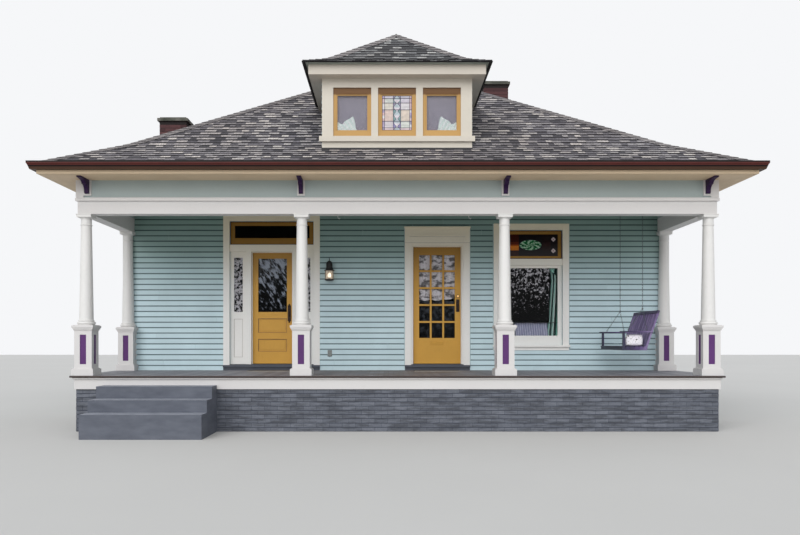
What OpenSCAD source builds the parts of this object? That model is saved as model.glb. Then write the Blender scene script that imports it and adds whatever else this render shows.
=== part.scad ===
// One-storey hip-roofed bungalow with a full-width front porch.
// The house front faces -Y, +X is to the right and +Z is up.
// The origin is on the ground, in the middle of the front wall's outer face.

/* [House body] */
// Width over the outer faces of the side walls
house_w = 10240; // [9400:20:11200]
// Depth from the front wall's outer face to the back wall's outer face
house_d = 12000; // [10000:100:15000]
// Thickness of the framed walls
wall_t = 150; // [120:10:200]
// Height of the inside floor above the porch floor
floor_rise = 115; // [60:5:180]
// Clear height of the rooms, floor to ceiling
room_h = 2935; // [2860:5:3200]
// Thickness of the ceiling slab that is also the attic's floor
attic_floor_t = 105; // [80:5:200]

/* [Foundation] */
// Height of the porch floor above the lowest ground
porch_floor_z = 890; // [700:10:1200]
// Thickness of the brick foundation walls
foundation_t = 230; // [210:10:350]
// Height of the white skirt board under the floor edge
skirt_h = 150; // [100:10:200]
// Thickness of the skirt board
skirt_t = 25; // [18:1:35]
// Height of the drip moulding above the skirt board
drip_h = 35; // [25:5:60]
// How far the drip moulding stands out from the foundation
drip_out = 55; // [35:5:70]

/* [Porch] */
// Depth of the porch foundation in front of the house wall
porch_d = 2120; // [1900:20:2600]
// Thickness of the porch floor boards
porch_floor_t = 28; // [22:2:50]
// How far the front foundation wall stands out to carry the porch floor's back edge
porch_ledge = 40; // [20:5:60]
// How far the porch floor runs out over its foundation
porch_floor_out = 80; // [60:5:100]
// Thickness of the porch ceiling boards
porch_ceiling_t = 20; // [15:1:40]
// Height of the beam's underside above the porch floor
beam_clear_h = 2590; // [2500:10:2700]
// Height of the porch beam
beam_h = 205; // [150:5:260]
// Thickness of the porch beam
beam_t = 200; // [180:10:240]
// Height of the ledge moulding on the beam
ledge_h = 55; // [30:5:80]
// How far the ledge moulding stands out from the beam
ledge_out = 30; // [15:5:45]
// Distance of the front columns' centres in front of the wall
column_y = 1970; // [1900:10:2100]
// Distance of the inner left column from the left end of the porch
inner_left_inset = 3580; // [3400:20:3700]
// Distance of the inner right column from the right end of the porch
inner_right_inset = 3390; // [3200:20:3500]
// How far the wall columns' centres stand in front of the wall
wall_column_y = 60; // [40:5:120]

/* [Columns] */
// Side of the pedestal's plinth
plinth_w = 345; // [320:5:380]
// Height of the pedestal's plinth
plinth_h = 115; // [80:5:160]
// Side of the pedestal's body
pedestal_w = 280; // [250:5:300]
// Height of the pedestal, plinth and cap included
pedestal_h = 810; // [700:10:900]
// Height of the pedestal's moulded cap
pedestal_cap_h = 86; // [70:2:110]
// Width of the recessed panel in each pedestal face
panel_w = 102; // [80:2:140]
// Height of the recessed panel
panel_h = 472; // [400:2:520]
// Depth of the panel's recess
panel_recess = 16; // [12:1:24]
// Thickness of the coloured panel in the recess
panel_t = 7; // [4:1:10]
// Diameter of the shaft above its base
shaft_bottom_d = 220; // [190:5:240]
// Diameter of the shaft under its capital
shaft_top_d = 165; // [140:5:190]
// Height of the turned base of the shaft
column_base_h = 83; // [60:1:110]
// Side of the square abacus under the beam
abacus_w = 233; // [210:1:260]
// Height of the abacus
abacus_h = 50; // [35:5:70]
// Distance from the beam down to the neck ring
neck_drop = 169; // [140:1:200]

/* [Steps] */
// Width of the flight
steps_w = 1795; // [1400:5:2000]
// Distance of the flight from the left end of the porch
steps_inset = 450; // [300:10:600]
// Number of treads
steps_n = 3; // [2:1:3]
// Drop from the porch floor to the top tread
steps_drop = 150; // [100:5:180]
// Rise from tread to tread
step_rise = 187; // [150:1:190]
// Depth of each tread
step_go = 320; // [260:10:350]

/* [Entry] */
// Distance of the entry opening from the left end of the front wall
entry_inset = 1990; // [1900:10:2150]
// Width of the entry opening between its casings
entry_w = 1580; // [1500:10:1700]
// Width of the entry door leaf
entry_leaf_w = 760; // [700:10:860]
// Height of the entry door leaf
entry_leaf_h = 2106; // [2030:2:2150]
// Thickness of both door leaves
leaf_t = 44; // [35:1:50]
// Gap round each door leaf
leaf_gap = 7; // [6:1:8]
// Width of the posts beside the entry door
entry_post_w = 100; // [40:5:110]
// Height of the bar between the entry door and the transom
transom_bar_h = 130; // [100:5:160]
// Height of the transom sash
transom_h = 440; // [400:10:480]
// Width of the casings round doors and windows
casing_w = 118; // [90:2:125]
// Thickness of the casings
casing_t = 25; // [18:1:40]
// How far the door sills stand out from the wall
sill_out = 60; // [40:5:90]
// Height of the inside floor above the sills' outer nosings
sill_drop = 15; // [10:1:25]
// Distance of each handle's centre from its leaf's edge
handle_inset = 62; // [50:2:75]
// Height of the entry handle's centre above the porch floor
entry_handle_up = 1077; // [900:1:1150]

/* [Second door] */
// Left edge of the second door opening, right of the middle of the house
second_left = 285; // [250:5:400]
// Width of the second door leaf
second_leaf_w = 914; // [860:2:920]
// Height of the second door leaf
second_leaf_h = 2214; // [2100:2:2300]
// Height of the panelled head above the second door
second_head_h = 300; // [240:5:340]
// Number of glass lites across the second door
lites_across = 3; // [2:1:4]
// Number of glass lites up the second door
lites_up = 5; // [3:1:6]
// Width of the bars between the lites
lite_bar_w = 34; // [24:2:40]
// Height of the second door's handle above the porch floor
second_handle_up = 1222; // [900:2:1300]
// Width of the mail flap under the lites
mail_flap_w = 250; // [200:5:280]
// Height of the mail flap
mail_flap_h = 58; // [40:2:70]

/* [Front window] */
// Distance of the front window opening from the right end of the front wall
front_window_inset = 1984; // [1900:1:2020]
// Width of the front window opening
front_window_w = 1181; // [1100:1:1200]
// Height of the front window's sill above the porch floor
front_window_sill = 477; // [400:1:600]
// Height of the main sash
front_sash_h = 1503; // [1400:1:1600]
// Height of the bar between the main sash and the transom sash
front_bar_h = 120; // [80:5:140]
// Height of the transom sash of the front window
front_transom_h = 540; // [480:5:570]

/* [Side and back windows] */
// Width of each side and back window opening
plain_window_w = 1000; // [800:20:1200]
// Height of each side and back window opening
plain_window_h = 1700; // [1500:20:1900]
// Number of windows in each side wall
side_windows_n = 3; // [2:1:4]
// Number of windows in the back wall
back_windows_n = 2; // [1:1:3]
// Thickness of every window sash
sash_t = 45; // [35:5:60]
// Width of the sash stiles
stile_w = 60; // [45:5:75]
// Thickness of the window panes
glass_t = 6; // [4:1:10]

/* [Eaves] */
// How far the eaves run out from the side walls to the fascia
eave_out = 440; // [400:10:600]
// How far the eaves run out from the porch frieze to the fascia
eave_front_out = 470; // [420:10:600]
// Thickness of the soffit boards and the fascia
eave_board_t = 25; // [18:1:35]
// Height of the fascia above the soffit's underside
fascia_h = 180; // [150:5:220]
// Depth of the gutter from front to back
gutter_d = 110; // [90:5:130]
// Height of the gutter
gutter_h = 122; // [100:2:150]
// Thickness of the gutter's sheet
gutter_t = 4; // [3:1:6]

/* [Roof] */
// Pitch of the flared stretch along the eaves, in degrees
flare_angle = 27.5; // [24:0.1:31]
// Length of the flared stretch in plan
flare_run = 1000; // [600:50:1500]
// Pitch of the main slopes, in degrees
roof_angle = 33.4; // [31:0.1:37]
// Upright thickness of the roof
roof_t = 180; // [140:10:260]

/* [Dormer] */
// Width over the dormer's side walls
dormer_w = 2490; // [2400:10:2600]
// Distance of the dormer's front in front of the house wall
dormer_y = 1650; // [1400:50:1800]
// Thickness of the dormer's walls
dormer_wall_t = 120; // [90:10:150]
// Height of the dormer window sill above the eave's top
dormer_sill_up = 635; // [600:5:700]
// Height of the dormer windows
dormer_window_h = 814; // [760:2:860]
// Width of each dormer window
dormer_window_w = 630; // [600:2:650]
// Width of the posts between the dormer windows
dormer_post_w = 114; // [80:2:130]
// Height of the head casing over the dormer windows
dormer_head_h = 146; // [100:2:180]
// Number of dormer windows
dormer_windows_n = 3; // [2:1:3]
// Height of the dormer's fascia
dormer_fascia_h = 160; // [120:5:200]
// How far the dormer's fascia stands out from its walls
dormer_fascia_out = 205; // [150:5:260]
// How far the dormer's roof edge stands out from the fascia
dormer_drip = 87; // [60:1:110]
// Height of the dormer roof's edge
dormer_edge_t = 20; // [15:1:40]
// Length of the flare on the dormer's eaves, in plan
dormer_flare_run = 350; // [250:10:450]
// Pitch of the dormer's flare, in degrees
dormer_flare_angle = 24.2; // [19:0.1:27]
// Pitch of the dormer's slopes, in degrees
dormer_angle = 37.2; // [35:0.1:39]
// Upright thickness of the dormer's roof
dormer_roof_t = 110; // [80:5:140]

/* [Brackets] */
// Width of each scroll bracket
bracket_w = 68; // [60:2:90]
// Height of each scroll bracket
bracket_h = 224; // [200:2:240]
// How far each bracket stands out from its backing board
bracket_out = 330; // [240:10:380]
// Thickness of the level bar at a bracket's head
bracket_bar = 26; // [20:2:34]
// Width of the backing board behind each bracket
bracket_board_w = 122; // [110:2:140]
// Distance of the outer brackets in from the outer columns' axes
bracket_inset = 62; // [45:1:70]
// Thickness of the backing board
bracket_board_t = 25; // [15:1:35]

/* [Chimneys] */
// Side of each square chimney
chimney_w = 520; // [480:10:600]
// Distance of the left chimney's centre from the left side of the house
left_chimney_inset = 720; // [650:10:800]
// Distance of the left chimney's centre behind the house front
left_chimney_y = 950; // [900:10:1200]
// Height of the left chimney's top above the ground
left_chimney_z = 5865; // [5600:5:6400]
// Distance of the right chimney's centre from the middle of the house
right_chimney_x = 2190; // [2100:10:2400]
// Distance of the right chimney's centre behind the house front
right_chimney_y = 2350; // [2200:10:2600]
// Height of the right chimney's top above the ground
right_chimney_z = 7075; // [6900:5:7400]
// Height of the chimney caps
chimney_cap_h = 80; // [60:5:120]
// How far the chimney caps stand out
chimney_cap_out = 40; // [25:5:60]

/* [Swing] */
// Distance of the swing's hangers from the right end of the porch
swing_inset = 1000; // [940:10:1100]
// Distance of the swing's middle in front of the wall
swing_y = 915; // [880:5:950]
// Length of the swing between its chains
swing_l = 1190; // [1100:10:1250]
// Height of the swing's seat top above the porch floor
seat_h = 465; // [420:5:500]
// Depth of the seat from front to back
seat_d = 430; // [400:10:460]
// Height of the arm tops above the seat top
arm_h = 255; // [220:5:280]
// Length of the back along its slope
back_l = 660; // [560:10:700]
// Lean of the back from upright
back_lean = 19; // [12:1:24]
// Thickness of the swing's chains
chain_d = 9; // [7:1:12]
// Height above the arms at which each chain splits in two
chain_split_h = 375; // [300:5:420]

/* [Fittings] */
// Distance of the wall lantern's centre from the entry casing
lantern_gap = 188; // [150:2:240]
// Height of the lantern's middle above the porch floor
lantern_z = 1890; // [1700:10:2000]
// Thickness of the doormats
mat_t = 14; // [8:1:20]

/* [Hidden] */
$fn = 48;

// Amount by which a cutter runs past the face that it cuts
past = 1;
// Seat clearance between pieces that move or are soft
seat_gap = 0.3;

// Heights
found_top = porch_floor_z - porch_floor_t;
floor_z = porch_floor_z + floor_rise;
ceiling_z = floor_z + room_h;
attic_z = ceiling_z + attic_floor_t;
beam_z = porch_floor_z + beam_clear_h;
ledge_z = beam_z + beam_h;
frieze_z = ledge_z + ledge_h;
soffit_z = attic_z - eave_board_t;
eave_z = soffit_z + fascia_h;
gutter_drop = 5;
gutter_z = eave_z - gutter_h - gutter_drop;

// Plan of the house, the porch and the eaves
half_w = house_w / 2;
porch_front = -porch_d;
beam_front = -column_y - beam_t / 2;
roof_half = half_w + eave_out - eave_board_t;
roof_front_y = beam_front - eave_front_out + eave_board_t;
roof_back_y = house_d + eave_out - eave_board_t;
heel = roof_half - half_w + beam_t;
column_x = half_w - beam_t / 2;
outer_columns = [-column_x, column_x];
inner_columns = [-half_w + inner_left_inset, half_w - inner_right_inset];
all_columns = concat(outer_columns, inner_columns);
bracket_xs = concat([-column_x + bracket_inset, column_x - bracket_inset], inner_columns);
steps_x = [-half_w + steps_inset, -half_w + steps_inset + steps_w];

// Openings of the front wall
entry_x = [-half_w + entry_inset, -half_w + entry_inset + entry_w];
entry_leaf_x = entry_x[0] + (entry_w - entry_leaf_w) / 2;
sill_z = floor_z - sill_drop;
leaf_foot_gap = leaf_gap + 2;
door_bottom_z = floor_z + leaf_foot_gap;
entry_leaf_top = door_bottom_z + entry_leaf_h;
transom_z = entry_leaf_top + leaf_gap + transom_bar_h;
entry_top = transom_z + transom_h;
jamb_w = 30;
second_leaf_x = second_left + jamb_w + leaf_gap;
second_x = [second_left, second_left + second_leaf_w + 2 * (jamb_w + leaf_gap)];
second_top = door_bottom_z + second_leaf_h + leaf_gap + jamb_w;
window_x = [half_w - front_window_inset - front_window_w, half_w - front_window_inset];
window_z = porch_floor_z + front_window_sill;
window_bar_z = window_z + front_sash_h;
window_transom_z = window_bar_z + front_bar_h;
window_top = window_transom_z + front_transom_h;
// Side and back windows share their heads' height with the second door
plain_z = second_top - plain_window_h;
side_pitch = house_d / (side_windows_n + 1);
side_window_ys = [for (i = [1 : side_windows_n]) i * side_pitch];
back_pitch = house_w / (back_windows_n + 1);
back_window_xs = [for (i = [1 : back_windows_n]) i * back_pitch - half_w];

// Window sills: height, and how far they run past the casings
stool_h = 40;
stool_horn = 15;

// Depth in the wall at which sashes and panes stand, and the step round a coloured pane
sash_y = 50;
pane_y = sash_y + (sash_t - glass_t) / 2;
sash_step_w = 24;
sash_step_t = 12;

// Borders of each sash as [stile, foot, head]
sidelight_border = [68, 985, 110];
entry_transom_border = [85, 130, 77];
front_sash_border = [78, 176, 52];
front_transom_border = [73, 57, 71];
dormer_border = [67, 116, 120];
plain_foot_border = [stile_w, stile_w, stile_w / 2];
plain_head_border = [stile_w, stile_w / 2, stile_w];

sidelight_spans = [
    [entry_x[0], entry_leaf_x - leaf_gap - entry_post_w],
    [entry_leaf_x + entry_leaf_w + leaf_gap + entry_post_w, entry_x[1]]];
sidelight_z = [floor_z, entry_leaf_top + leaf_gap];
sidelight_panel_margin = 130;
sidelight_panel_recess = 10;
entry_transom_z = [transom_z, entry_top];
front_sash_z = [window_z, window_bar_z];
front_transom_z = [window_transom_z, window_top];

// Leaves stand flush with the inner face of the wall
leaf_y = [wall_t - leaf_t, wall_t];
leaf_pane_y = wall_t - (leaf_t + glass_t) / 2;
entry_stile = 108;
entry_glass_x = [entry_leaf_x + entry_stile, entry_leaf_x + entry_leaf_w - entry_stile];
entry_glass_foot = 978;
entry_glass_head = 116;
entry_glass_z = [door_bottom_z + entry_glass_foot, entry_leaf_top - entry_glass_head];
entry_panels = [[229, 466], [585, 854]];
panel_groove = 9;
panel_field = 34;
second_stile = 118;
second_foot = 485;
second_rail = 155;
lite_w = (second_leaf_w - 2 * second_stile - (lites_across - 1) * lite_bar_w) / lites_across;
lite_h = (second_leaf_h - second_foot - second_rail - (lites_up - 1) * lite_bar_w) / lites_up;
stop_w = 14;
foot_strip_h = 34;
foot_strip_t = 7;

// Heights of the three hinges of a leaf above its foot, and their sizes
hinge_ups = [190, 1010, 1830];
hinge_h = 100;
hinge_knuckle_r = 6;
hinge_pin_r = 3;
hinge_play = 0.3;
hinge_plate_w = 32;
hinge_plate_t = 2;
hinge_plate_gap = 1;
hinge_y = wall_t + hinge_knuckle_r;

// Pedestals, from the porch floor up
pedestal_cap_z = pedestal_h - pedestal_cap_h;
panel_mid_z = (plinth_h + pedestal_cap_z) / 2;
panel_z = [panel_mid_z - panel_h / 2, panel_mid_z + panel_h / 2];

// Dormer
dormer_half = dormer_w / 2;
dormer_sill_z = eave_z + dormer_sill_up;
dormer_soffit_z = dormer_sill_z + dormer_window_h + dormer_head_h;
dormer_eave_z = dormer_soffit_z + dormer_fascia_h;
dormer_roof_half = dormer_half + dormer_fascia_out + dormer_drip;
dormer_roof_front = -dormer_y - dormer_fascia_out - dormer_drip;
dormer_heel = dormer_fascia_out + dormer_drip + dormer_wall_t;
dormer_pitch = dormer_window_w + dormer_post_w;
dormer_window_xs = [for (i = [0 : dormer_windows_n - 1])
    (i - (dormer_windows_n - 1) / 2) * dormer_pitch];
dormer_sash_y = 30;
dormer_window_z = [dormer_sill_z, dormer_sill_z + dormer_window_h];

// Height of the main roof's surface at a distance in from its edge
function roof_at(d) = eave_z + min(d, flare_run) * tan(flare_angle)
    + max(d - flare_run, 0) * tan(roof_angle);

// Height of the dormer roof's surface at a distance in from its edge
function dormer_at(d) = dormer_eave_z + dormer_edge_t
    + min(d, dormer_flare_run) * tan(dormer_flare_angle)
    + max(d - dormer_flare_run, 0) * tan(dormer_angle);

// Distance behind the house front at which the main roof's front slope reaches a height
function slope_y(z) = roof_front_y + flare_run + (z - roof_at(flare_run)) / tan(roof_angle);

ridge_z = roof_at(roof_half);
dormer_ridge_z = dormer_at(dormer_roof_half);
dormer_back_y = slope_y(dormer_ridge_z) + roof_t / 2;
dormer_hole_back = slope_y(dormer_soffit_z) - roof_t;

// Half sections of the dormer's roof, from the eave to the ridge: outside and inside
dormer_outer = [[0, dormer_eave_z], [0, dormer_at(0)],
    [dormer_flare_run, dormer_at(dormer_flare_run)], [dormer_roof_half, dormer_ridge_z]];
dormer_inner = [[dormer_heel, dormer_eave_z - past],
    [dormer_heel, dormer_at(dormer_heel) - dormer_roof_t],
    [dormer_roof_half, dormer_ridge_z - dormer_roof_t]];

// Chimneys as [x, y, top]
chimneys_at = [[-half_w + left_chimney_inset, left_chimney_y, left_chimney_z],
    [right_chimney_x, right_chimney_y, right_chimney_z]];

// Swing
swing_x = half_w - swing_inset;
seat_z = porch_floor_z + seat_h;
arm_z = seat_z + arm_h;
hook_drop = 46;
hook_pin_r = 4;
swing_pivot_z = ceiling_z - hook_drop;
link_r = 14;
link_wire = 8;
link_w = 8;
seat_front = 355;
seat_front_x = swing_x - seat_front;
eye_xs = [swing_x - 240, swing_x + 70];
rail_w = 35;
rail_h = 50;
bench_l = swing_l + rail_w;
slat_t = 18;
slat_w = 58;
back_slat_w = 74;
back_slat_gap = 24;
seat_slats = 6;
arm_w = 70;
arm_t = 22;
back_t = 30;
pillow_w = 300;
pillow_h = 205;
pillow_t = 120;
pillow_front = 88;

// A box between two planes along each axis
module block(x, y, z) {
    translate([x[0], y[0], z[0]]) cube([x[1] - x[0], y[1] - y[0], z[1] - z[0]]);
}

// The children and their mirror image in the plane X = 0
module both_sides() {
    children();
    mirror([1, 0, 0]) children();
}

// A 2D profile drawn in (Y, Z), extruded along X between two planes
module along_x(x) {
    translate([x[0], 0, 0]) rotate([90, 0, 90]) linear_extrude(x[1] - x[0]) children();
}

// Plan outline of one mitred run: out beyond its line, and inward of it
function run_plan(length, out, inward) = length - 2 * inward > past
    ? [[-out, -out], [length + out, -out], [length - inward, inward], [inward, inward]]
    : [[-out, -out], [length + out, -out], [length / 2, length / 2]];

// One run of a profile (x inward, y up) along +X, mitred at 45 degrees at both ends
module mitred_run(length, out, inward, top) {
    intersection() {
        along_x([-out, length + out]) children();
        linear_extrude(top) polygon(run_plan(length, out, inward));
    }
}

// A 2D profile drawn in (X, Z), extruded along Y between two planes
module along_y(y) {
    translate([0, y[1], 0]) rotate([90, 0, 0]) linear_extrude(y[1] - y[0]) children();
}

// The profile run round a rectangle; sides are 0 front, 1 right, 2 back, 3 left
module run_on_side(side, half, front, back, out, inward, top) {
    corner = [[-half, front], [half, front], [half, back], [-half, back]][side];
    length = side % 2 == 0 ? 2 * half : back - front;
    translate([corner[0], corner[1], 0]) rotate([0, 0, 90 * side])
        mitred_run(length, out, inward, top) children();
}

// Section of one main slope, from the eave on the left to the ridge
module slope_profile() {
    polygon([[0, attic_z], [0, eave_z], [flare_run, roof_at(flare_run)], [roof_half, ridge_z],
        [roof_half, ridge_z - roof_t], [flare_run, roof_at(flare_run) - roof_t],
        [heel, roof_at(heel) - roof_t], [heel, attic_z]]);
}

module roof_slope_piece(side) {
    run_on_side(side, roof_half, roof_front_y, roof_back_y, 0, roof_half, ridge_z + past)
        slope_profile();
}

// All the space under the main roof's front surface
module under_front_slope() {
    along_x([-roof_half, roof_half]) translate([roof_front_y, 0])
        polygon([[0, ceiling_z], [0, eave_z], [flare_run, roof_at(flare_run)],
            [roof_half, ridge_z], [roof_half, ceiling_z]]);
}

// Foundation

module brick_wall(x, y) {
    color("slategray") block(x, y, [0, found_top]);
}

module foundation_sides() {
    both_sides() brick_wall([-half_w, -half_w + foundation_t], [0, house_d]);
}

module foundation_ends() {
    inside = [-half_w + foundation_t, half_w - foundation_t];
    brick_wall(inside, [-porch_ledge, foundation_t - porch_ledge]);
    brick_wall(inside, [house_d - foundation_t, house_d]);
}

module porch_foundation() {
    brick_wall([-half_w, half_w], [porch_front, porch_front + foundation_t]);
    both_sides()
        brick_wall([-half_w, -half_w + foundation_t], [porch_front + foundation_t, 0]);
}

// White board and drip moulding round the head of the foundation
module skirt_boards() {
    skirt_z = found_top - drip_h - skirt_h;
    drip_slope = 12;
    color("ghostwhite") for (side = [0 : 3])
        run_on_side(side, half_w, porch_front, house_d, drip_out, 0, found_top)
            polygon([[0, skirt_z], [0, found_top], [-drip_out + drip_slope, found_top],
                [-drip_out, found_top - drip_slope], [-drip_out, found_top - drip_h + drip_slope],
                [-skirt_t, found_top - drip_h], [-skirt_t, skirt_z]]);
}

// Steps

module entry_steps() {
    back = porch_front - skirt_t;
    under_skirt = found_top - drip_h - skirt_h;
    color("dimgray") {
        block(steps_x, [back, porch_front], [0, under_skirt]);
        for (i = [0 : steps_n - 1])
            block(steps_x, [back - (i + 1) * step_go, back - i * step_go],
                [0, porch_floor_z - steps_drop - i * step_rise]);
    }
}

// Floors

module porch_floor() {
    side = half_w + porch_floor_out;
    nose = porch_floor_t / 2;
    front = porch_front - porch_floor_out;
    color("gray") {
        block([-side, side], [front + nose, 0], [found_top, porch_floor_z]);
        translate([-side, front + nose, found_top + nose]) rotate([0, 90, 0])
            cylinder(h = 2 * side, r = nose);
    }
}

module house_floor() {
    color("peru") difference() {
        block([-half_w + wall_t, half_w - wall_t], [wall_t, house_d - wall_t],
            [found_top, floor_z]);
        chimney_shafts(0);
    }
}

// Each sill fills its opening and carries both casings on its outer nosing
module door_sills() {
    nosing_h = 40;
    color("dimgray") for (x = [entry_x, second_x]) {
        outer = [x[0] - casing_w, x[1] + casing_w];
        block(x, [0, wall_t], [found_top, floor_z]);
        block(outer, [-sill_out, 0], [sill_z - nosing_h, sill_z]);
        block(outer, [-casing_t, 0], [porch_floor_z, sill_z - nosing_h]);
    }
}

module attic_floor() {
    color("tan") difference() {
        block([-half_w, half_w], [0, house_d], [ceiling_z, attic_z]);
        chimney_shafts(0);
    }
}

// Walls

module siding() {
    color("lightblue") children();
}

module front_wall_left() {
    siding() block([-half_w, entry_x[0]], [0, wall_t], [found_top, ceiling_z]);
}

module front_wall_middle() {
    siding() block([entry_x[1], second_x[0]], [0, wall_t], [found_top, ceiling_z]);
}

module front_wall_right() {
    siding() difference() {
        block([second_x[1], half_w], [0, wall_t], [found_top, ceiling_z]);
        block(window_x, [-past, wall_t + past], [window_z, window_top]);
    }
}

module front_wall_headers() {
    siding() {
        block(entry_x, [0, wall_t], [entry_top, ceiling_z]);
        block(second_x, [0, wall_t], [second_top, ceiling_z]);
    }
}

// Places the children, drawn for a wall facing -Y, at each side or back window
module at_left_windows() {
    for (y = side_window_ys)
        translate([-half_w, y, plain_z]) rotate([0, 0, -90]) children();
}

module at_right_windows() {
    for (y = side_window_ys)
        translate([half_w, y, plain_z]) rotate([0, 0, 90]) children();
}

module at_back_windows() {
    for (x = back_window_xs)
        translate([x, house_d, plain_z]) rotate([0, 0, 180]) children();
}

module plain_opening() {
    block([-plain_window_w / 2, plain_window_w / 2], [-past, wall_t + past],
        [0, plain_window_h]);
}

module left_wall() {
    siding() difference() {
        block([-half_w, -half_w + wall_t], [wall_t, house_d - wall_t], [found_top, ceiling_z]);
        at_left_windows() plain_opening();
    }
}

module right_wall() {
    siding() difference() {
        block([half_w - wall_t, half_w], [wall_t, house_d - wall_t], [found_top, ceiling_z]);
        at_right_windows() plain_opening();
    }
}

module back_wall() {
    siding() difference() {
        block([-half_w, half_w], [house_d - wall_t, house_d], [found_top, ceiling_z]);
        at_back_windows() plain_opening();
    }
}

// White boards at the corners of the walls and of the frieze
module corner_boards() {
    board_w = 110;
    board_t = 22;
    color("ghostwhite") both_sides() {
        block([half_w, half_w + board_t], [0, board_w], [found_top, soffit_z]);
        block([half_w, half_w + board_t], [house_d - board_w, house_d], [found_top, soffit_z]);
        block([half_w - board_w, half_w + board_t], [house_d, house_d + board_t],
            [found_top, soffit_z]);
        block([half_w, half_w + board_t], [beam_front, beam_front + board_w],
            [frieze_z, soffit_z]);
        block([bracket_xs[1] + bracket_board_w / 2, half_w + board_t],
            [beam_front - board_t, beam_front], [frieze_z, soffit_z]);
    }
}

// Porch head

module porch_ceiling() {
    inner = half_w - beam_t;
    color("beige") block([-inner, inner], [beam_front + beam_t, 0],
        [ceiling_z, ceiling_z + porch_ceiling_t]);
}

// A band of the porch head: front length and both returns to the wall
module porch_band(z, t, out) {
    front = beam_front - out;
    side = half_w + out;
    block([-side, side], [front, beam_front + t], z);
    both_sides() block([half_w - t, side], [beam_front + t, 0], z);
}

module porch_beams() {
    bead = 12;
    color("ghostwhite") {
        porch_band([beam_z, ledge_z], beam_t, 0);
        porch_band([ledge_z, frieze_z - bead], beam_t, ledge_out);
        porch_band([frieze_z - bead, frieze_z], beam_t, ledge_out - bead);
    }
}

module frieze() {
    color("lightblue") porch_band([frieze_z, attic_z], beam_t, 0);
}

// Eaves

module eave_boards() {
    color("antiquewhite") {
        difference() {
            block([-roof_half, roof_half], [roof_front_y, roof_back_y], [soffit_z, attic_z]);
            block([-half_w, half_w], [beam_front, house_d], [soffit_z - past, attic_z + past]);
        }
        for (side = [0 : 3])
            run_on_side(side, roof_half, roof_front_y, roof_back_y, eave_board_t, 0, eave_z)
                polygon([[-eave_board_t, soffit_z], [0, soffit_z], [0, eave_z],
                    [-eave_board_t, eave_z]]);
    }
}

// Section of the gutter, its back against the fascia at x = 0 and its foot at y = 0
module gutter_profile() {
    foot = gutter_d * 0.66;
    knee = [foot + 6, 18];
    belly = [gutter_d - 14, gutter_h * 0.55];
    face_h = 34;
    lip = 14;
    t = gutter_t;
    difference() {
        polygon([[0, 0], [-foot, 0], [-knee[0], knee[1]], [-belly[0], belly[1]],
            [-gutter_d, gutter_h - face_h], [-gutter_d, gutter_h], [0, gutter_h]]);
        polygon([[-t, t], [t - foot, t], [t - knee[0], knee[1] + t / 2],
            [t - belly[0], belly[1] + t / 2], [t - gutter_d, gutter_h - face_h + t / 2],
            [t - gutter_d, gutter_h - t], [lip - gutter_d, gutter_h - t],
            [lip - gutter_d, gutter_h + past], [-t, gutter_h + past]]);
    }
}

module gutters() {
    color("saddlebrown") for (side = [0 : 3])
        run_on_side(side, roof_half + eave_board_t, roof_front_y - eave_board_t,
            roof_back_y + eave_board_t, gutter_d, 0, eave_z + past)
            translate([0, gutter_z]) gutter_profile();
}

// Scroll brackets

// Points of an arc about (x, z), from angle a0 to a1
function arc(x, z, r, a0, a1, n) =
    [for (i = [0 : n]) let (a = a0 + (a1 - a0) * i / n) [x + r * cos(a), z + r * sin(a)]];

// Points of a quarter ellipse that leaves p upright and reaches q level
function sweep(p, q, n) = [for (i = [0 : n]) let (a = 90 * i / n)
    [q[0] - (q[0] - p[0]) * cos(a), p[1] + (q[1] - p[1]) * sin(a)]];

// Side outline of a bracket: x forward from its back, y down from the soffit. Two hollow
// sweeps meet in a cusp between the round toe and the nose of the level bar.
module bracket_outline() {
    toe_r = 20;
    cusp_h = 12;
    bar_r = bracket_bar / 2;
    cusp = [bracket_out * 0.42, -bracket_h * 0.4];
    polygon(concat([[0, 0], [0, -bracket_h]],
        arc(toe_r, toe_r - bracket_h, toe_r, -90, 0, 4),
        sweep([2 * toe_r, 2 * toe_r - bracket_h], cusp, 6),
        sweep([cusp[0], cusp[1] + cusp_h], [bracket_out - bar_r, -bracket_bar], 6),
        arc(bracket_out - bar_r, -bar_r, bar_r, -60, 0, 3),
        [[bracket_out, 0]]));
}

module eave_brackets() {
    back = beam_front - bracket_board_t;
    color("indigo") for (x = bracket_xs)
        along_x([x - bracket_w / 2, x + bracket_w / 2]) translate([back, soffit_z])
            mirror([1, 0]) bracket_outline();
}

module bracket_boards() {
    board_past = 28;
    drop = bracket_h + board_past;
    color("ghostwhite") for (x = bracket_xs)
        block([x - bracket_board_w / 2, x + bracket_board_w / 2],
            [beam_front - bracket_board_t, beam_front], [soffit_z - drop, soffit_z]);
}

// Columns

// Square pedestal with a recessed panel in each face, its foot at z = 0
module pedestal() {
    step = pedestal_cap_h / 4;
    flare = (plinth_w - pedestal_w) / 2;
    plinth_edge = 12;
    cap_edge = 8;
    difference() {
        union() {
            centred_slab(plinth_w, [0, plinth_h - plinth_edge]);
            centred_slab(plinth_w - 2 * plinth_edge, [plinth_h - plinth_edge, plinth_h]);
            centred_slab(pedestal_w, [plinth_h, pedestal_cap_z]);
            centred_slab(pedestal_w + flare * 0.7, [pedestal_cap_z, pedestal_cap_z + step]);
            centred_slab(pedestal_w + flare * 1.4,
                [pedestal_cap_z + step, pedestal_cap_z + 2 * step]);
            centred_slab(plinth_w, [pedestal_cap_z + 2 * step, pedestal_h - cap_edge]);
            centred_slab(plinth_w - 4 * cap_edge, [pedestal_h - cap_edge, pedestal_h]);
        }
        for (a = [0, 90, 180, 270]) rotate([0, 0, a])
            block([-panel_w / 2, panel_w / 2],
                [-pedestal_w / 2 - past, -pedestal_w / 2 + panel_recess], panel_z);
    }
}

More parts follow.
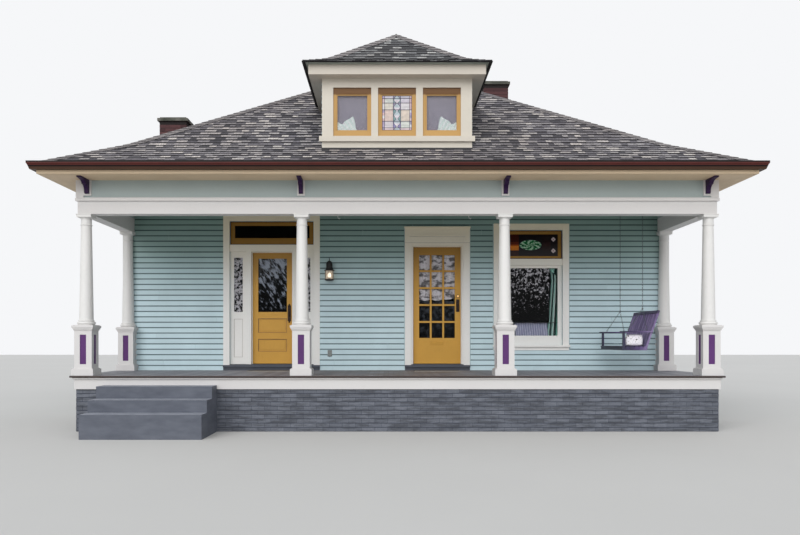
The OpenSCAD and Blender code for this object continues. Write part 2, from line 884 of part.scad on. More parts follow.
// Square slab centred on the column's axis
module centred_slab(w, z) {
    block([-w / 2, w / 2], [-w / 2, w / 2], z);
}

// Coloured panel at the back of one recess, on the face turned by a
module pedestal_panel(a) {
    back = -pedestal_w / 2 + panel_recess;
    rotate([0, 0, a]) block([-panel_w / 2, panel_w / 2], [back - panel_t, back], panel_z);
}

// Turned shaft with base rings, necking and abacus, from the pedestal to the beam
module column_shaft() {
    top_z = beam_clear_h;
    cap_z = top_z - abacus_h;
    neck_z = top_z - neck_drop;
    r0 = shaft_bottom_d / 2;
    r1 = shaft_top_d / 2;
    foot_r = r0 + 22;
    foot_top = pedestal_h + 10;
    bead_r = 9;
    fillet = 4;
    torus_r = (column_base_h - 2 * bead_r - fillet - 15) / 2;
    torus_z = foot_top + torus_r;
    bead_z = torus_z + torus_r + fillet + bead_r;
    ring_r = 10;
    abacus_edge = 12;
    abacus_out = 7;
    echinus_r = abacus_w / 2 - abacus_edge - r1;
    echinus_z = cap_z - echinus_r - abacus_edge / 2;
    rotate_extrude() polygon(concat(
        [[0, pedestal_h], [foot_r, pedestal_h], [foot_r, foot_top]],
        arc(r0 + 10, torus_z, torus_r, -90, 90, 8),
        arc(r0 + 6, bead_z, bead_r, -90, 90, 6),
        [[r0, pedestal_h + column_base_h], [r1, neck_z - ring_r]],
        arc(r1, neck_z, ring_r, -90, 90, 6),
        [[r1, echinus_z - abacus_edge / 2]],
        arc(r1 + echinus_r, echinus_z, echinus_r, 180, 90, 6),
        [[r1 + echinus_r, cap_z], [0, cap_z]]));
    centred_slab(abacus_w, [cap_z, top_z - abacus_edge]);
    centred_slab(abacus_w + 2 * abacus_out, [top_z - abacus_edge, top_z]);
}

module at_porch_columns() {
    for (x = all_columns) translate([x, -column_y, porch_floor_z]) children();
}

module at_wall_columns() {
    for (x = outer_columns) translate([x, -wall_column_y, porch_floor_z]) children();
}

// Keeps the part of the children that stands in front of the house wall
module in_front_of_wall() {
    intersection() {
        children();
        block([-house_w, house_w], [-plinth_w, 0], [0, attic_z]);
    }
}

module pedestals() {
    color("ghostwhite") {
        at_porch_columns() pedestal();
        in_front_of_wall() at_wall_columns() pedestal();
    }
}

module pedestal_panels() {
    color("rebeccapurple") {
        at_porch_columns() for (a = [0, 90, 180, 270]) pedestal_panel(a);
        at_wall_columns() pedestal_panel(0);
    }
}

module columns() {
    color("ghostwhite") {
        at_porch_columns() column_shaft();
        in_front_of_wall() at_wall_columns() column_shaft();
    }
}

// Casings

// Flat casing round three sides of an opening in the front wall
module casing(x, z, head_h) {
    y = [-casing_t, 0];
    block([x[0] - casing_w, x[0]], y, z);
    block([x[1], x[1] + casing_w], y, z);
    block([x[0] - casing_w, x[1] + casing_w], y, [z[1], z[1] + head_h]);
}

module front_casings() {
    entry_head = casing_w * 0.88;
    color("ghostwhite") {
        casing(entry_x, [sill_z, entry_top], entry_head);
        casing(second_x, [sill_z, second_top], second_head_h);
        second_moulding();
        casing(window_x, [window_z, window_top], casing_w);
        window_stool();
    }
}

// Moulding across the panelled head of the second door, and its cap
module second_moulding() {
    bead_z = second_top + second_head_h * 0.54;
    bead_h = 28;
    bead_t = 14;
    cap_end = 12;
    cap_out = 22;
    cap_h = 28;
    top = second_top + second_head_h;
    block(second_x, [-casing_t - bead_t, -casing_t], [bead_z, bead_z + bead_h]);
    block([second_x[0] - casing_w - cap_end, second_x[1] + casing_w + cap_end],
        [-casing_t - cap_out, 0], [top, top + cap_h]);
}

// Sill and apron under the front window
module window_stool() {
    apron_z = [window_z - stool_h - casing_w / 2, window_z - stool_h];
    stool(window_x, window_z);
    block([window_x[0] - casing_w, window_x[1] + casing_w], [-casing_t, 0], apron_z);
}

// Sill under an opening, running out past its casings
module stool(x, z) {
    block([x[0] - casing_w - stool_horn, x[1] + casing_w + stool_horn], [-sill_out, 0],
        [z - stool_h, z]);
}

// Doors and their frames

// Jambs, posts, bars and stops of both doorways
module door_frames() {
    stop_y = wall_t - leaf_t - leaf_gap;
    bar_z = entry_leaf_top + leaf_gap;
    post_left = [sidelight_spans[0][1], entry_leaf_x - leaf_gap];
    post_right = [entry_leaf_x + entry_leaf_w + leaf_gap, sidelight_spans[1][0]];
    color("ghostwhite") {
        block(post_left, [0, wall_t], [floor_z, bar_z]);
        block(post_right, [0, wall_t], [floor_z, bar_z]);
        block(entry_x, [0, wall_t], [bar_z, transom_z]);
        door_stop(entry_leaf_x, entry_leaf_w, entry_leaf_top, stop_y);
        block([second_x[0], second_x[0] + jamb_w], [0, wall_t], [floor_z, second_top]);
        block([second_x[1] - jamb_w, second_x[1]], [0, wall_t], [floor_z, second_top]);
        block([second_x[0] + jamb_w, second_x[1] - jamb_w], [0, wall_t],
            [second_top - jamb_w, second_top]);
        door_stop(second_leaf_x, second_leaf_w, second_top - jamb_w - leaf_gap, stop_y);
    }
}

// Stop bead outside a leaf, on both jambs and the head
module door_stop(x, w, top, y) {
    sides = [x - leaf_gap, x + w + leaf_gap];
    head = top + leaf_gap;
    depth = [y - stop_w, y];
    block([sides[0], sides[0] + stop_w], depth, [floor_z, head]);
    block([sides[1] - stop_w, sides[1]], depth, [floor_z, head]);
    block([sides[0] + stop_w, sides[1] - stop_w], depth, [head - stop_w, head]);
}

// Opening of a sash inside its border, as [x span, z span]
function sash_opening(x, z, border) =
    [[x[0] + border[0], x[1] - border[0]], [z[0] + border[1], z[1] - border[2]]];

// Frame of one sash over spans x and z, with an opening inside its border
module sash(x, z, border, y) {
    opening = sash_opening(x, z, border);
    difference() {
        block(x, [y, y + sash_t], z);
        block(opening[0], [y - past, y + sash_t + past], opening[1]);
    }
}

// Sash whose inner edge steps back round the pane
module stepped_sash(x, z, border, y) {
    opening = sash_opening(x, z, border);
    w = sash_step_w;
    difference() {
        sash(x, z, border, y);
        block(opening[0] + [-w, w], [y - past, y + sash_step_t], opening[1] + [-w, w]);
    }
}

// Pane that fills a sash's opening
module sash_pane(x, z, border, y) {
    opening = sash_opening(x, z, border);
    pane(opening[0], opening[1], y);
}

module pane(x, z, y) {
    block(x, [y, y + glass_t], z);
}

// Fixed white sidelights: a tall pane over a recessed panel
module sidelights() {
    panel_z = [floor_z + sidelight_panel_margin,
        floor_z + sidelight_border[1] - sidelight_panel_margin];
    color("ghostwhite") for (x = sidelight_spans) difference() {
        sash(x, sidelight_z, sidelight_border, sash_y);
        block([x[0] + sidelight_border[0], x[1] - sidelight_border[0]],
            [sash_y - past, sash_y + sidelight_panel_recess], panel_z);
    }
}

module transom_sashes() {
    color("goldenrod") {
        stepped_sash(entry_x, entry_transom_z, entry_transom_border, sash_y);
        stepped_sash(window_x, front_transom_z, front_transom_border, sash_y);
    }
}

// White main sash of the front window with the bar over it
module front_window_sash() {
    color("ghostwhite") {
        sash(window_x, front_sash_z, front_sash_border, sash_y);
        block(window_x, [0, wall_t], [window_bar_z, window_transom_z]);
    }
}

module front_glass() {
    color("darkslategray", 0.6) {
        for (x = sidelight_spans) sash_pane(x, sidelight_z, sidelight_border, pane_y);
        sash_pane(entry_x, entry_transom_z, entry_transom_border, pane_y);
        sash_pane(window_x, front_sash_z, front_sash_border, pane_y);
        sash_pane(window_x, front_transom_z, front_transom_border, pane_y);
    }
}

// Entry leaf: a large pane over two raised panels
module entry_door() {
    color("goldenrod") {
        difference() {
            block([entry_leaf_x, entry_leaf_x + entry_leaf_w], leaf_y,
                [door_bottom_z, entry_leaf_top]);
            block(entry_glass_x, [leaf_y[0] - past, leaf_y[1] + past], entry_glass_z);
            for (p = entry_panels, face = [0, 1])
                raised_panel_cut(entry_glass_x, [door_bottom_z + p[0], door_bottom_z + p[1]],
                    face);
        }
        foot_strip(entry_leaf_x, entry_leaf_w);
    }
}

// Weather strip across the foot of a leaf, between the stops
module foot_strip(leaf_x, leaf_w) {
    block([leaf_x + stop_w, leaf_x + leaf_w - stop_w], [leaf_y[0] - foot_strip_t, leaf_y[0]],
        [door_bottom_z, door_bottom_z + foot_strip_h]);
}

// Groove round a raised panel on one face of a leaf
module raised_panel_cut(x, z, face) {
    y = face == 0 ? [leaf_y[0] - past, leaf_y[0] + panel_groove]
        : [leaf_y[1] - panel_groove, leaf_y[1] + past];
    inward = [panel_field, -panel_field];
    difference() {
        block(x, y, z);
        block(x + inward, y, z + inward);
    }
}

module entry_door_glass() {
    color("darkslategray", 0.6) pane(entry_glass_x, entry_glass_z, leaf_pane_y);
}

// Spans of the lite in column i and row j of the second leaf
function lite_x(i) = let (x = second_leaf_x + second_stile + i * (lite_w + lite_bar_w))
    [x, x + lite_w];
function lite_z(j) = let (z = door_bottom_z + second_foot + j * (lite_h + lite_bar_w))
    [z, z + lite_h];

// Second leaf: a grid of lites over a flat lower part with a mail flap
module second_door() {
    leaf_x = [second_leaf_x, second_leaf_x + second_leaf_w];
    color("goldenrod") {
        difference() {
            block(leaf_x, leaf_y, [door_bottom_z, door_bottom_z + second_leaf_h]);
            for (i = [0 : lites_across - 1], j = [0 : lites_up - 1])
                block(lite_x(i), [leaf_y[0] - past, leaf_y[1] + past], lite_z(j));
        }
        foot_strip(second_leaf_x, second_leaf_w);
        mail_flap();
    }
}

// Closed flap with a rounded head, in the middle of the rail under the lites
module mail_flap() {
    rail_gap = 70;
    flap_t = 8;
    roll_r = 6;
    top = door_bottom_z + second_foot - rail_gap;
    x = second_leaf_x + (second_leaf_w - mail_flap_w) / 2;
    translate([x, leaf_y[0], 0]) rotate([90, 0, 90]) linear_extrude(mail_flap_w)
        polygon(concat([[0, top - mail_flap_h], [0, top + roll_r]],
            arc(-flap_t, top, roll_r, 90, 225, 5), [[-flap_t, top - mail_flap_h]]));
}

module second_door_glass() {
    color("darkslategray", 0.6) for (i = [0 : lites_across - 1], j = [0 : lites_up - 1])
        pane(lite_x(i), lite_z(j), leaf_pane_y);
}

// Plate with a grip outside and a knob inside, centred on (x, z), and the bolt's rose
module handle_set(x, z, plate_h, bolt_up, rose_r) {
    plate_w = 64;
    plate_t = 4;
    grip_r = 8;
    grip_out = 40;
    grip_h = plate_h / 2;
    rose_t = 12;
    knob_r = 26;
    stem_l = 36;
    outer = leaf_y[0] - plate_t;
    inner = leaf_y[1] + plate_t;
    color("saddlebrown") {
        block([x - plate_w / 2, x + plate_w / 2], [outer, leaf_y[0]],
            [z - plate_h / 2, z + plate_h / 2]);
        translate([x, leaf_y[0] - grip_out, z - 0.6 * grip_h]) cylinder(h = grip_h, r = grip_r);
        for (up = [-0.6 * grip_h + grip_r, 0.4 * grip_h - grip_r])
            translate([x, outer, z + up]) rotate([90, 0, 0])
                cylinder(h = grip_out - plate_t, r = grip_r * 0.8);
        translate([x, leaf_y[0], z + bolt_up]) rotate([90, 0, 0]) cylinder(h = rose_t, r = rose_r);
        block([x - plate_w / 2, x + plate_w / 2], [leaf_y[1], inner],
            [z - plate_h / 3, z + plate_h / 3]);
        translate([x, inner, z]) rotate([-90, 0, 0]) cylinder(h = stem_l, r = knob_r * 0.4);
        translate([x, inner + stem_l + knob_r * 0.4, z]) sphere(knob_r);
    }
}

// Half of each hinge that turns with the leaf: plate and middle knuckle round the pin
module leaf_hinges(leaf_x) {
    axis_x = leaf_x - leaf_gap / 2;
    third = hinge_h / 3;
    color("saddlebrown") for (up = hinge_ups) translate([axis_x, hinge_y, door_bottom_z + up])
        difference() {
            union() {
                translate([0, 0, third + hinge_play])
                    cylinder(h = third - 2 * hinge_play, r = hinge_knuckle_r);
                block([0, leaf_gap / 2 + hinge_plate_w],
                    [-hinge_knuckle_r, -hinge_knuckle_r + hinge_plate_t],
                    [third + hinge_play, 2 * third - hinge_play]);
                block([hinge_knuckle_r + hinge_plate_gap, leaf_gap / 2 + hinge_plate_w],
                    [-hinge_knuckle_r, -hinge_knuckle_r + hinge_plate_t], [0, hinge_h]);
            }
            translate([0, 0, -past])
                cylinder(h = hinge_h + 2 * past, r = hinge_pin_r + hinge_play);
        }
}

// Half of each hinge on the jamb: plate, end knuckles and the pin
module jamb_hinges(leaf_x) {
    axis_x = leaf_x - leaf_gap / 2;
    third = hinge_h / 3;
    for (up = hinge_ups) translate([axis_x, hinge_y, door_bottom_z + up]) {
        cylinder(h = hinge_h, r = hinge_pin_r);
        for (z = [0, 2 * third]) {
            translate([0, 0, z]) cylinder(h = third, r = hinge_knuckle_r);
            block([-leaf_gap / 2 - hinge_plate_w, 0],
                [-hinge_knuckle_r, -hinge_knuckle_r + hinge_plate_t], [z, z + third]);
        }
        block([-leaf_gap / 2 - hinge_plate_w, -hinge_knuckle_r - hinge_plate_gap],
            [-hinge_knuckle_r, -hinge_knuckle_r + hinge_plate_t], [0, hinge_h]);
    }
}

module door_hinges() {
    color("saddlebrown") {
        jamb_hinges(entry_leaf_x);
        jamb_hinges(second_leaf_x);
    }
}

module entry_door_hardware() {
    handle_set(entry_leaf_x + entry_leaf_w - handle_inset, porch_floor_z + entry_handle_up,
        300, 110, 17);
    leaf_hinges(entry_leaf_x);
}

module second_door_hardware() {
    handle_set(second_leaf_x + second_leaf_w - handle_inset, porch_floor_z + second_handle_up,
        236, 178, 34);
    leaf_hinges(second_leaf_x);
}

// Plain windows of the sides and the back

// Casing, sill and two sashes of one window, its opening's foot in the middle
module plain_window_frame() {
    x = [-plain_window_w / 2, plain_window_w / 2];
    meet = plain_window_h / 2;
    casing(x, [0, plain_window_h], casing_w);
    stool(x, 0);
    sash(x, [0, meet], plain_foot_border, sash_y);
    sash(x, [meet, plain_window_h], plain_head_border, sash_y);
}

module plain_window_panes() {
    x = [-plain_window_w / 2, plain_window_w / 2];
    meet = plain_window_h / 2;
    sash_pane(x, [0, meet], plain_foot_border, pane_y);
    sash_pane(x, [meet, plain_window_h], plain_head_border, pane_y);
}

module plain_window_frames() {
    color("ghostwhite") {
        at_left_windows() plain_window_frame();
        at_right_windows() plain_window_frame();
        at_back_windows() plain_window_frame();
    }
}

module plain_window_glass() {
    color("darkslategray", 0.6) {
        at_left_windows() plain_window_panes();
        at_right_windows() plain_window_panes();
        at_back_windows() plain_window_panes();
    }
}

// Dormer

module dormer_walls() {
    inner = dormer_half - dormer_wall_t;
    sill_x = dormer_half + 45;
    sill_h = 88;
    sill_proud = 40;
    color("ghostwhite") difference() {
        union() {
            block([-dormer_half, dormer_half], [-dormer_y, -dormer_y + dormer_wall_t],
                [attic_z, dormer_eave_z]);
            both_sides() block([inner, dormer_half], [-dormer_y + dormer_wall_t, dormer_back_y],
                [attic_z, dormer_eave_z]);
            block([-sill_x, sill_x], [-dormer_y - sill_proud, -dormer_y],
                [dormer_sill_z - sill_h, dormer_sill_z]);
        }
        for (x = dormer_window_xs)
            block(dormer_span(x), [-dormer_y - past, -dormer_y + dormer_wall_t + past], dormer_window_z);
        under_front_slope();
    }
}

// Width span of a dormer window about x
function dormer_span(x) = [x - dormer_window_w / 2, x + dormer_window_w / 2];

module dormer_sashes() {
    color("goldenrod") for (x = dormer_window_xs)
        stepped_sash(dormer_span(x), dormer_window_z, dormer_border, dormer_sash_y - dormer_y);
}

module dormer_glass() {
    y = -dormer_y + dormer_sash_y + (sash_t - glass_t) / 2;
    color("darkslategray", 0.6) for (x = dormer_window_xs)
        sash_pane(dormer_span(x), dormer_window_z, dormer_border, y);
}

// Fascia and soffit on three sides of the dormer, ending on the main roof
module dormer_eaves() {
    out = dormer_half + dormer_fascia_out;
    front = -dormer_y - dormer_fascia_out;
    color("ghostwhite") difference() {
        block([-out, out], [front, dormer_back_y], [dormer_soffit_z, dormer_eave_z]);
        block([-dormer_half, dormer_half], [-dormer_y, dormer_back_y + past],
            [dormer_soffit_z - past, dormer_eave_z + past]);
        block([-out + eave_board_t, out - eave_board_t], [front + eave_board_t, dormer_back_y + past],
            [dormer_soffit_z + eave_board_t, dormer_eave_z + past]);
        under_front_slope();
    }
}

// A half section run back from the front eave on both sides, with a hip at the front
module dormer_hull(section) {
    n = len(section) - 1;
    foot = section[0][1];
    length = dormer_back_y - dormer_roof_front;
    left = [for (p = section) p - [dormer_roof_half, 0]];
    right = [for (i = [n - 1 : -1 : 0]) [dormer_roof_half - section[i][0], section[i][1]]];
    intersection() {
        along_y([dormer_roof_front, dormer_back_y]) polygon(concat(left, right));
        along_x([-dormer_roof_half, dormer_roof_half]) translate([dormer_roof_front, 0])
            polygon(concat(section, [[length, section[n][1]], [length, foot]]));
    }
}

module dormer_roof() {
    color("dimgray") difference() {
        dormer_hull(dormer_outer);
        dormer_hull(dormer_inner);
        under_front_slope();
    }
}

// Main roof

module roof_front() {
    inner = dormer_half - dormer_wall_t;
    front = -dormer_y + dormer_wall_t;
    color("dimgray") difference() {
        roof_slope_piece(0);
        block([-inner, inner], [front, dormer_hole_back], [attic_z, ridge_z]);
        chimney_shafts(0);
    }
}

module roof_right() {
    color("dimgray") difference() {
        roof_slope_piece(1);
        chimney_shafts(0);
    }
}

module roof_back() {
    color("dimgray") roof_slope_piece(2);
}

module roof_left() {
    color("dimgray") difference() {
        roof_slope_piece(3);
        chimney_shafts(0);
    }
}

// Chimneys

// Both square stacks from the ground up, widened by a margin on every side
module chimney_shafts(margin) {
    w = chimney_w / 2 + margin;
    for (c = chimneys_at)
        block([c[0] - w, c[0] + w], [c[1] - w, c[1] + w], [0, c[2] - chimney_cap_h]);
}

module chimneys() {
    flue = chimney_w / 2;
    flue_deep = 350;
    crown_h = 25;
    color("sienna") difference() {
        union() {
            chimney_shafts(0);
            for (c = chimneys_at) translate([c[0], c[1], 0]) {
                centred_slab(chimney_w + 2 * chimney_cap_out,
                    [c[2] - chimney_cap_h, c[2] - crown_h]);
                centred_slab(chimney_w, [c[2] - crown_h, c[2]]);
            }
        }
        for (c = chimneys_at) translate([c[0], c[1], 0])
            centred_slab(flue, [c[2] - flue_deep, c[2] + past]);
    }
}

// Porch swing

// Straight round bar between two points of the plane of one chain, (x, z) each
module chain_bar(a, b) {
    run = b - a;
    translate([a[0], 0, a[1]]) rotate([0, atan2(run[0], run[1]), 0])
        cylinder(h = norm(run), d = chain_d, $fn = 8);
}

// Flat link about the Y axis, centred at (x, z)
module link_ring(x, z) {
    translate([x, link_w / 2, z]) rotate([90, 0, 0]) difference() {
        cylinder(h = link_w, r = link_r + link_wire / 2);
        translate([0, 0, -past]) cylinder(h = link_w + 2 * past, r = link_r - link_wire / 2);
    }
}

module at_chains() {
    for (y = [-swing_y - swing_l / 2, -swing_y + swing_l / 2]) translate([0, y, 0]) children();
}

// Ceiling hanger over each chain: a round plate with two cheeks that hold the pin
module swing_hooks() {
    plate_r = 30;
    plate_t = 6;
    cheek_w = 20;
    cheek_t = 4;
    inner = link_w / 2 + 1;
    outer = inner + cheek_t;
    pin_end = outer + 2;
    plate_z = ceiling_z - plate_t;
    color("gray") at_chains() translate([swing_x, 0, 0]) {
        translate([0, 0, plate_z]) cylinder(h = plate_t, r = plate_r);
        for (y = [[-outer, -inner], [inner, outer]])
            block([-cheek_w / 2, cheek_w / 2], y, [swing_pivot_z - cheek_w / 2, plate_z]);
        translate([0, pin_end, swing_pivot_z]) rotate([90, 0, 0])
            cylinder(h = 2 * pin_end, r = hook_pin_r);
    }
}

// Each chain hangs from its pin and splits in two above the arm
module swing_chains() {
    hole_r = link_r - link_wire / 2;
    top = swing_pivot_z + hook_pin_r + seat_gap - hole_r;
    split_z = arm_z + chain_split_h;
    eye_z = arm_z + seat_gap + chain_d;
    eye_w = 2 * chain_d;
    color("gray") at_chains() {
        link_ring(swing_x, top);
        chain_bar([swing_x, split_z + link_r], [swing_x, top - link_r]);
        link_ring(swing_x, split_z);
        for (x = eye_xs) {
            chain_bar([x, eye_z], [swing_x, split_z - link_r]);
            translate([x, eye_w / 2, eye_z]) rotate([90, 0, 0]) cylinder(h = eye_w, r = chain_d);
        }
    }
}

// Slatted bench facing -X: seat, leaning back and two arms
module swing_bench() {
    half_l = bench_l / 2;
    ends = [-swing_y - half_l, -swing_y + half_l];
    rear_x = seat_front_x + seat_d;
    rail_z = seat_z - slat_t - rail_h;
    front_rail_x = seat_front_x + 10;
    post_x = [seat_front_x + 20, seat_front_x + 20 + rail_w];
    arm_out = 20;
    color("rebeccapurple") {
        for (x = [front_rail_x, rear_x - rail_w])
            block([x, x + rail_w], ends, [rail_z, seat_z - slat_t]);
        at_chains() block([front_rail_x, rear_x], [-rail_w / 2, rail_w / 2],
            [rail_z, seat_z - slat_t]);
        for (i = [0 : seat_slats - 1]) {
            x = seat_front_x + i * (seat_d - slat_w) / (seat_slats - 1);
            block([x, x + slat_w], ends, [seat_z - slat_t, seat_z]);
        }
        at_chains() {
            block(post_x, [-rail_w / 2, rail_w / 2], [seat_z - slat_t, arm_z - arm_t]);
            block([seat_front_x - arm_out, rear_x + arm_h * tan(back_lean)],
                [-arm_w / 2, arm_w / 2], [arm_z - arm_t, arm_z]);
        }
        swing_back(ends);
    }
}

// Leaning frame of the back with its upright slats
module swing_back(ends) {
    slats = floor((swing_l - rail_w) / (back_slat_w + back_slat_gap));
    pitch = (swing_l - rail_w - back_slat_gap) / slats;
    foot = slat_t + 10;
    translate([seat_front_x + seat_d - back_t, 0, seat_z - slat_t]) rotate([0, back_lean, 0]) {
        at_chains() block([0, back_t], [-rail_w / 2, rail_w / 2], [0, back_l]);
        block([0, back_t], ends, [back_l - rail_h, back_l]);
        block([0, back_t], ends, [foot, foot + rail_h]);
        for (i = [0 : slats - 1]) {
            y = -swing_y - swing_l / 2 + rail_w / 2 + back_slat_gap + i * pitch;
            block([(back_t - slat_t) / 2, (back_t + slat_t) / 2], [y, y + pitch - back_slat_gap],
                [foot + rail_h / 2, back_l - rail_h / 2]);
        }
    }
}

// Cushion standing on the seat inside the near arm
module swing_pillow() {
    r = 34;
    corner_x = [r, pillow_w - r];
    corner_y = [r, pillow_t - r];
    corner_z = [r, pillow_h - r];
    near_y = -swing_y - (swing_l - rail_w) / 2 + seat_gap;
    color("white") translate([seat_front_x + pillow_front, near_y, seat_z + seat_gap]) hull()
        for (x = corner_x, y = corner_y, z = corner_z) translate([x, y, z]) sphere(r, $fn = 16);
}

// Fittings

// Wall lantern: back plate, arm and a tapered glazed body under a cap
module wall_lantern() {
    body_out = 125;
    arm_up = 40;
    plate_t = 16;
    plate_r = 58;
    arm_r = 9;
    pendant = [[0, -215], [14, -205], [22, -180], [58, -165], [60, -150]];
    glazing = [[50, -145], [78, 70]];
    roof = [[98, 82], [92, 96], [40, 150], [16, 165], [22, 190], [0, 215]];
    x = entry_x[1] + casing_w + lantern_gap;
    color("black") translate([x, 0, porch_floor_z + lantern_z]) {
        translate([0, 0, arm_up]) rotate([90, 0, 0]) cylinder(h = plate_t, r = plate_r);
        translate([0, -plate_t, arm_up]) rotate([90, 0, 0])
            cylinder(h = body_out - plate_t, r = arm_r);
        translate([0, -body_out, 0]) rotate_extrude() polygon(concat(pendant, glazing, roof));
    }
}

module doormats() {
    mat_w = 820;
    mat_d = 440;
    mat_inset = 10;
    near = sill_out + 40;
    color("dimgray") for (x = [entry_leaf_x + mat_inset, second_leaf_x + mat_inset])
        block([x, x + mat_w], [-near - mat_d, -near], [porch_floor_z, porch_floor_z + mat_t]);
}

// Curtain rod over the front window inside, and the curtain gathered at its right end
module window_curtain() {
    rod_up = 60;
    rod_out = 70;
    rod_r = 10;
    rod_past = 100;
    post_r = 8;
    fold = 30;
    pitch = fold * 1.6;
    folds = 6;
    gather = 40;
    hem_drop = 200;
    rod_z = window_top + rod_up;
    rod_y = wall_t + rod_out;
    color("mediumseagreen") {
        translate([window_x[0] - rod_past, rod_y, rod_z]) rotate([0, 90, 0])
            cylinder(h = front_window_w + 2 * rod_past, r = rod_r);
        for (x = [window_x[0] - rod_past + rod_r, window_x[1] + rod_past - rod_r])
            translate([x, wall_t, rod_z]) rotate([-90, 0, 0]) cylinder(h = rod_out, r = post_r);
        translate([0, 0, window_z - hem_drop])
            linear_extrude(rod_z + fold - window_z + hem_drop)
                for (i = [0 : folds - 1])
                    translate([window_x[1] + gather - i * pitch, rod_y]) circle(fold);
    }
}

foundation_sides();
foundation_ends();
porch_foundation();
skirt_boards();
entry_steps();
porch_floor();
house_floor();
door_sills();
front_wall_left();
front_wall_middle();
front_wall_right();
front_wall_headers();
left_wall();
right_wall();
back_wall();
corner_boards();
attic_floor();
porch_ceiling();
porch_beams();
frieze();
eave_boards();
gutters();
bracket_boards();
eave_brackets();
pedestals();
pedestal_panels();
columns();
front_casings();
door_frames();
sidelights();
transom_sashes();
entry_door();
entry_door_glass();
entry_door_hardware();
second_door();
second_door_glass();
second_door_hardware();
front_window_sash();
front_glass();
plain_window_frames();
plain_window_glass();
dormer_walls();
dormer_sashes();
dormer_glass();
dormer_eaves();
dormer_roof();
roof_front();
roof_left();
roof_right();
roof_back();
chimneys();
swing_hooks();
swing_chains();
swing_bench();
swing_pillow();
wall_lantern();
doormats();
window_curtain();
door_hinges();
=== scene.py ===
"""Looks of the bungalow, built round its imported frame. Sizes are metres, +Z is up, the front faces -Y."""

import math
import random

import bmesh
import bpy
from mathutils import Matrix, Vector


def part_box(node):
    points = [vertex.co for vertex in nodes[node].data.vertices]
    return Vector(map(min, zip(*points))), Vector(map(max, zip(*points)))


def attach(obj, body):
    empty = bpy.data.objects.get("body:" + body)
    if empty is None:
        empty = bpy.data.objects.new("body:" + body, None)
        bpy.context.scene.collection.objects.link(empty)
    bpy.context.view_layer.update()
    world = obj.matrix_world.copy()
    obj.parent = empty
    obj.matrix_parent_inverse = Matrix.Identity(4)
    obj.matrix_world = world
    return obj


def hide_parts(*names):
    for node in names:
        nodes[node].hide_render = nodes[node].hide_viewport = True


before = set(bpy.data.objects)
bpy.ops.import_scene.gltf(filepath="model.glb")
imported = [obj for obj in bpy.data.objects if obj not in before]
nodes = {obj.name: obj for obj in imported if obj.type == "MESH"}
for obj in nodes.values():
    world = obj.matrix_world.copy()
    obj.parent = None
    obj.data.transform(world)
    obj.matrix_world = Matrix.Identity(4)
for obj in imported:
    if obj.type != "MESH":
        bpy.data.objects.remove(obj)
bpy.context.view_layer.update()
dice = random.Random(7)


# Sizes read from the frame


def solids(node):
    """Lowest and highest corner of every separate solid of a CAD node."""
    mesh = nodes[node].data
    at = {}
    parent = list(range(len(mesh.vertices)))

    def root(i):
        while parent[i] != i:
            parent[i] = parent[parent[i]]
            i = parent[i]
        return i

    for v in mesh.vertices:
        key = tuple(round(c, 5) for c in v.co)
        parent[root(v.index)] = root(at.setdefault(key, v.index))
    for e in mesh.edges:
        parent[root(e.vertices[0])] = root(e.vertices[1])
    boxes = {}
    for v in mesh.vertices:
        lo, hi = boxes.setdefault(root(v.index), (v.co.copy(), v.co.copy()))
        for k in range(3):
            lo[k] = min(lo[k], v.co[k])
            hi[k] = max(hi[k], v.co[k])
    return list(boxes.values())


half_w, house_d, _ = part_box("back_wall")[1]
floor_lo, floor_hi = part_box("porch_floor")
ceiling_lo, ceiling_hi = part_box("porch_ceiling")
porch_z, ceiling_z = floor_hi.z, ceiling_lo.z
found_top = floor_lo.z
soffit_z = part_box("eave_boards")[0].z
beam_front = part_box("frieze")[0].y
porch_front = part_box("porch_foundation")[0].y
dormer_glass_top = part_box("dormer_glass")[1].z
chimney_boxes = solids("chimneys")
chimney_cap_out = 0.04
chimney_cap_h = 0.08


# Colours and materials


def linear(r, g, b):
    """Linear RGBA of an 8-bit sRGB colour."""

    def one(c):
        c /= 255
        return c / 12.92 if c <= 0.04045 else ((c + 0.055) / 1.055) ** 2.4

    return (one(r), one(g), one(b), 1)


def shade(colour, factor):
    """Linear RGBA of an 8-bit colour made darker or lighter by a factor."""
    return tuple(min(c * factor, 1) for c in linear(*colour)[:3]) + (1,)


def rgba(colour):
    """Linear RGBA of a grey level, of an 8-bit colour, or of what is linear RGBA already."""
    if isinstance(colour, (int, float)):
        return (colour, colour, colour, 1)
    return linear(*colour) if len(colour) == 3 else colour


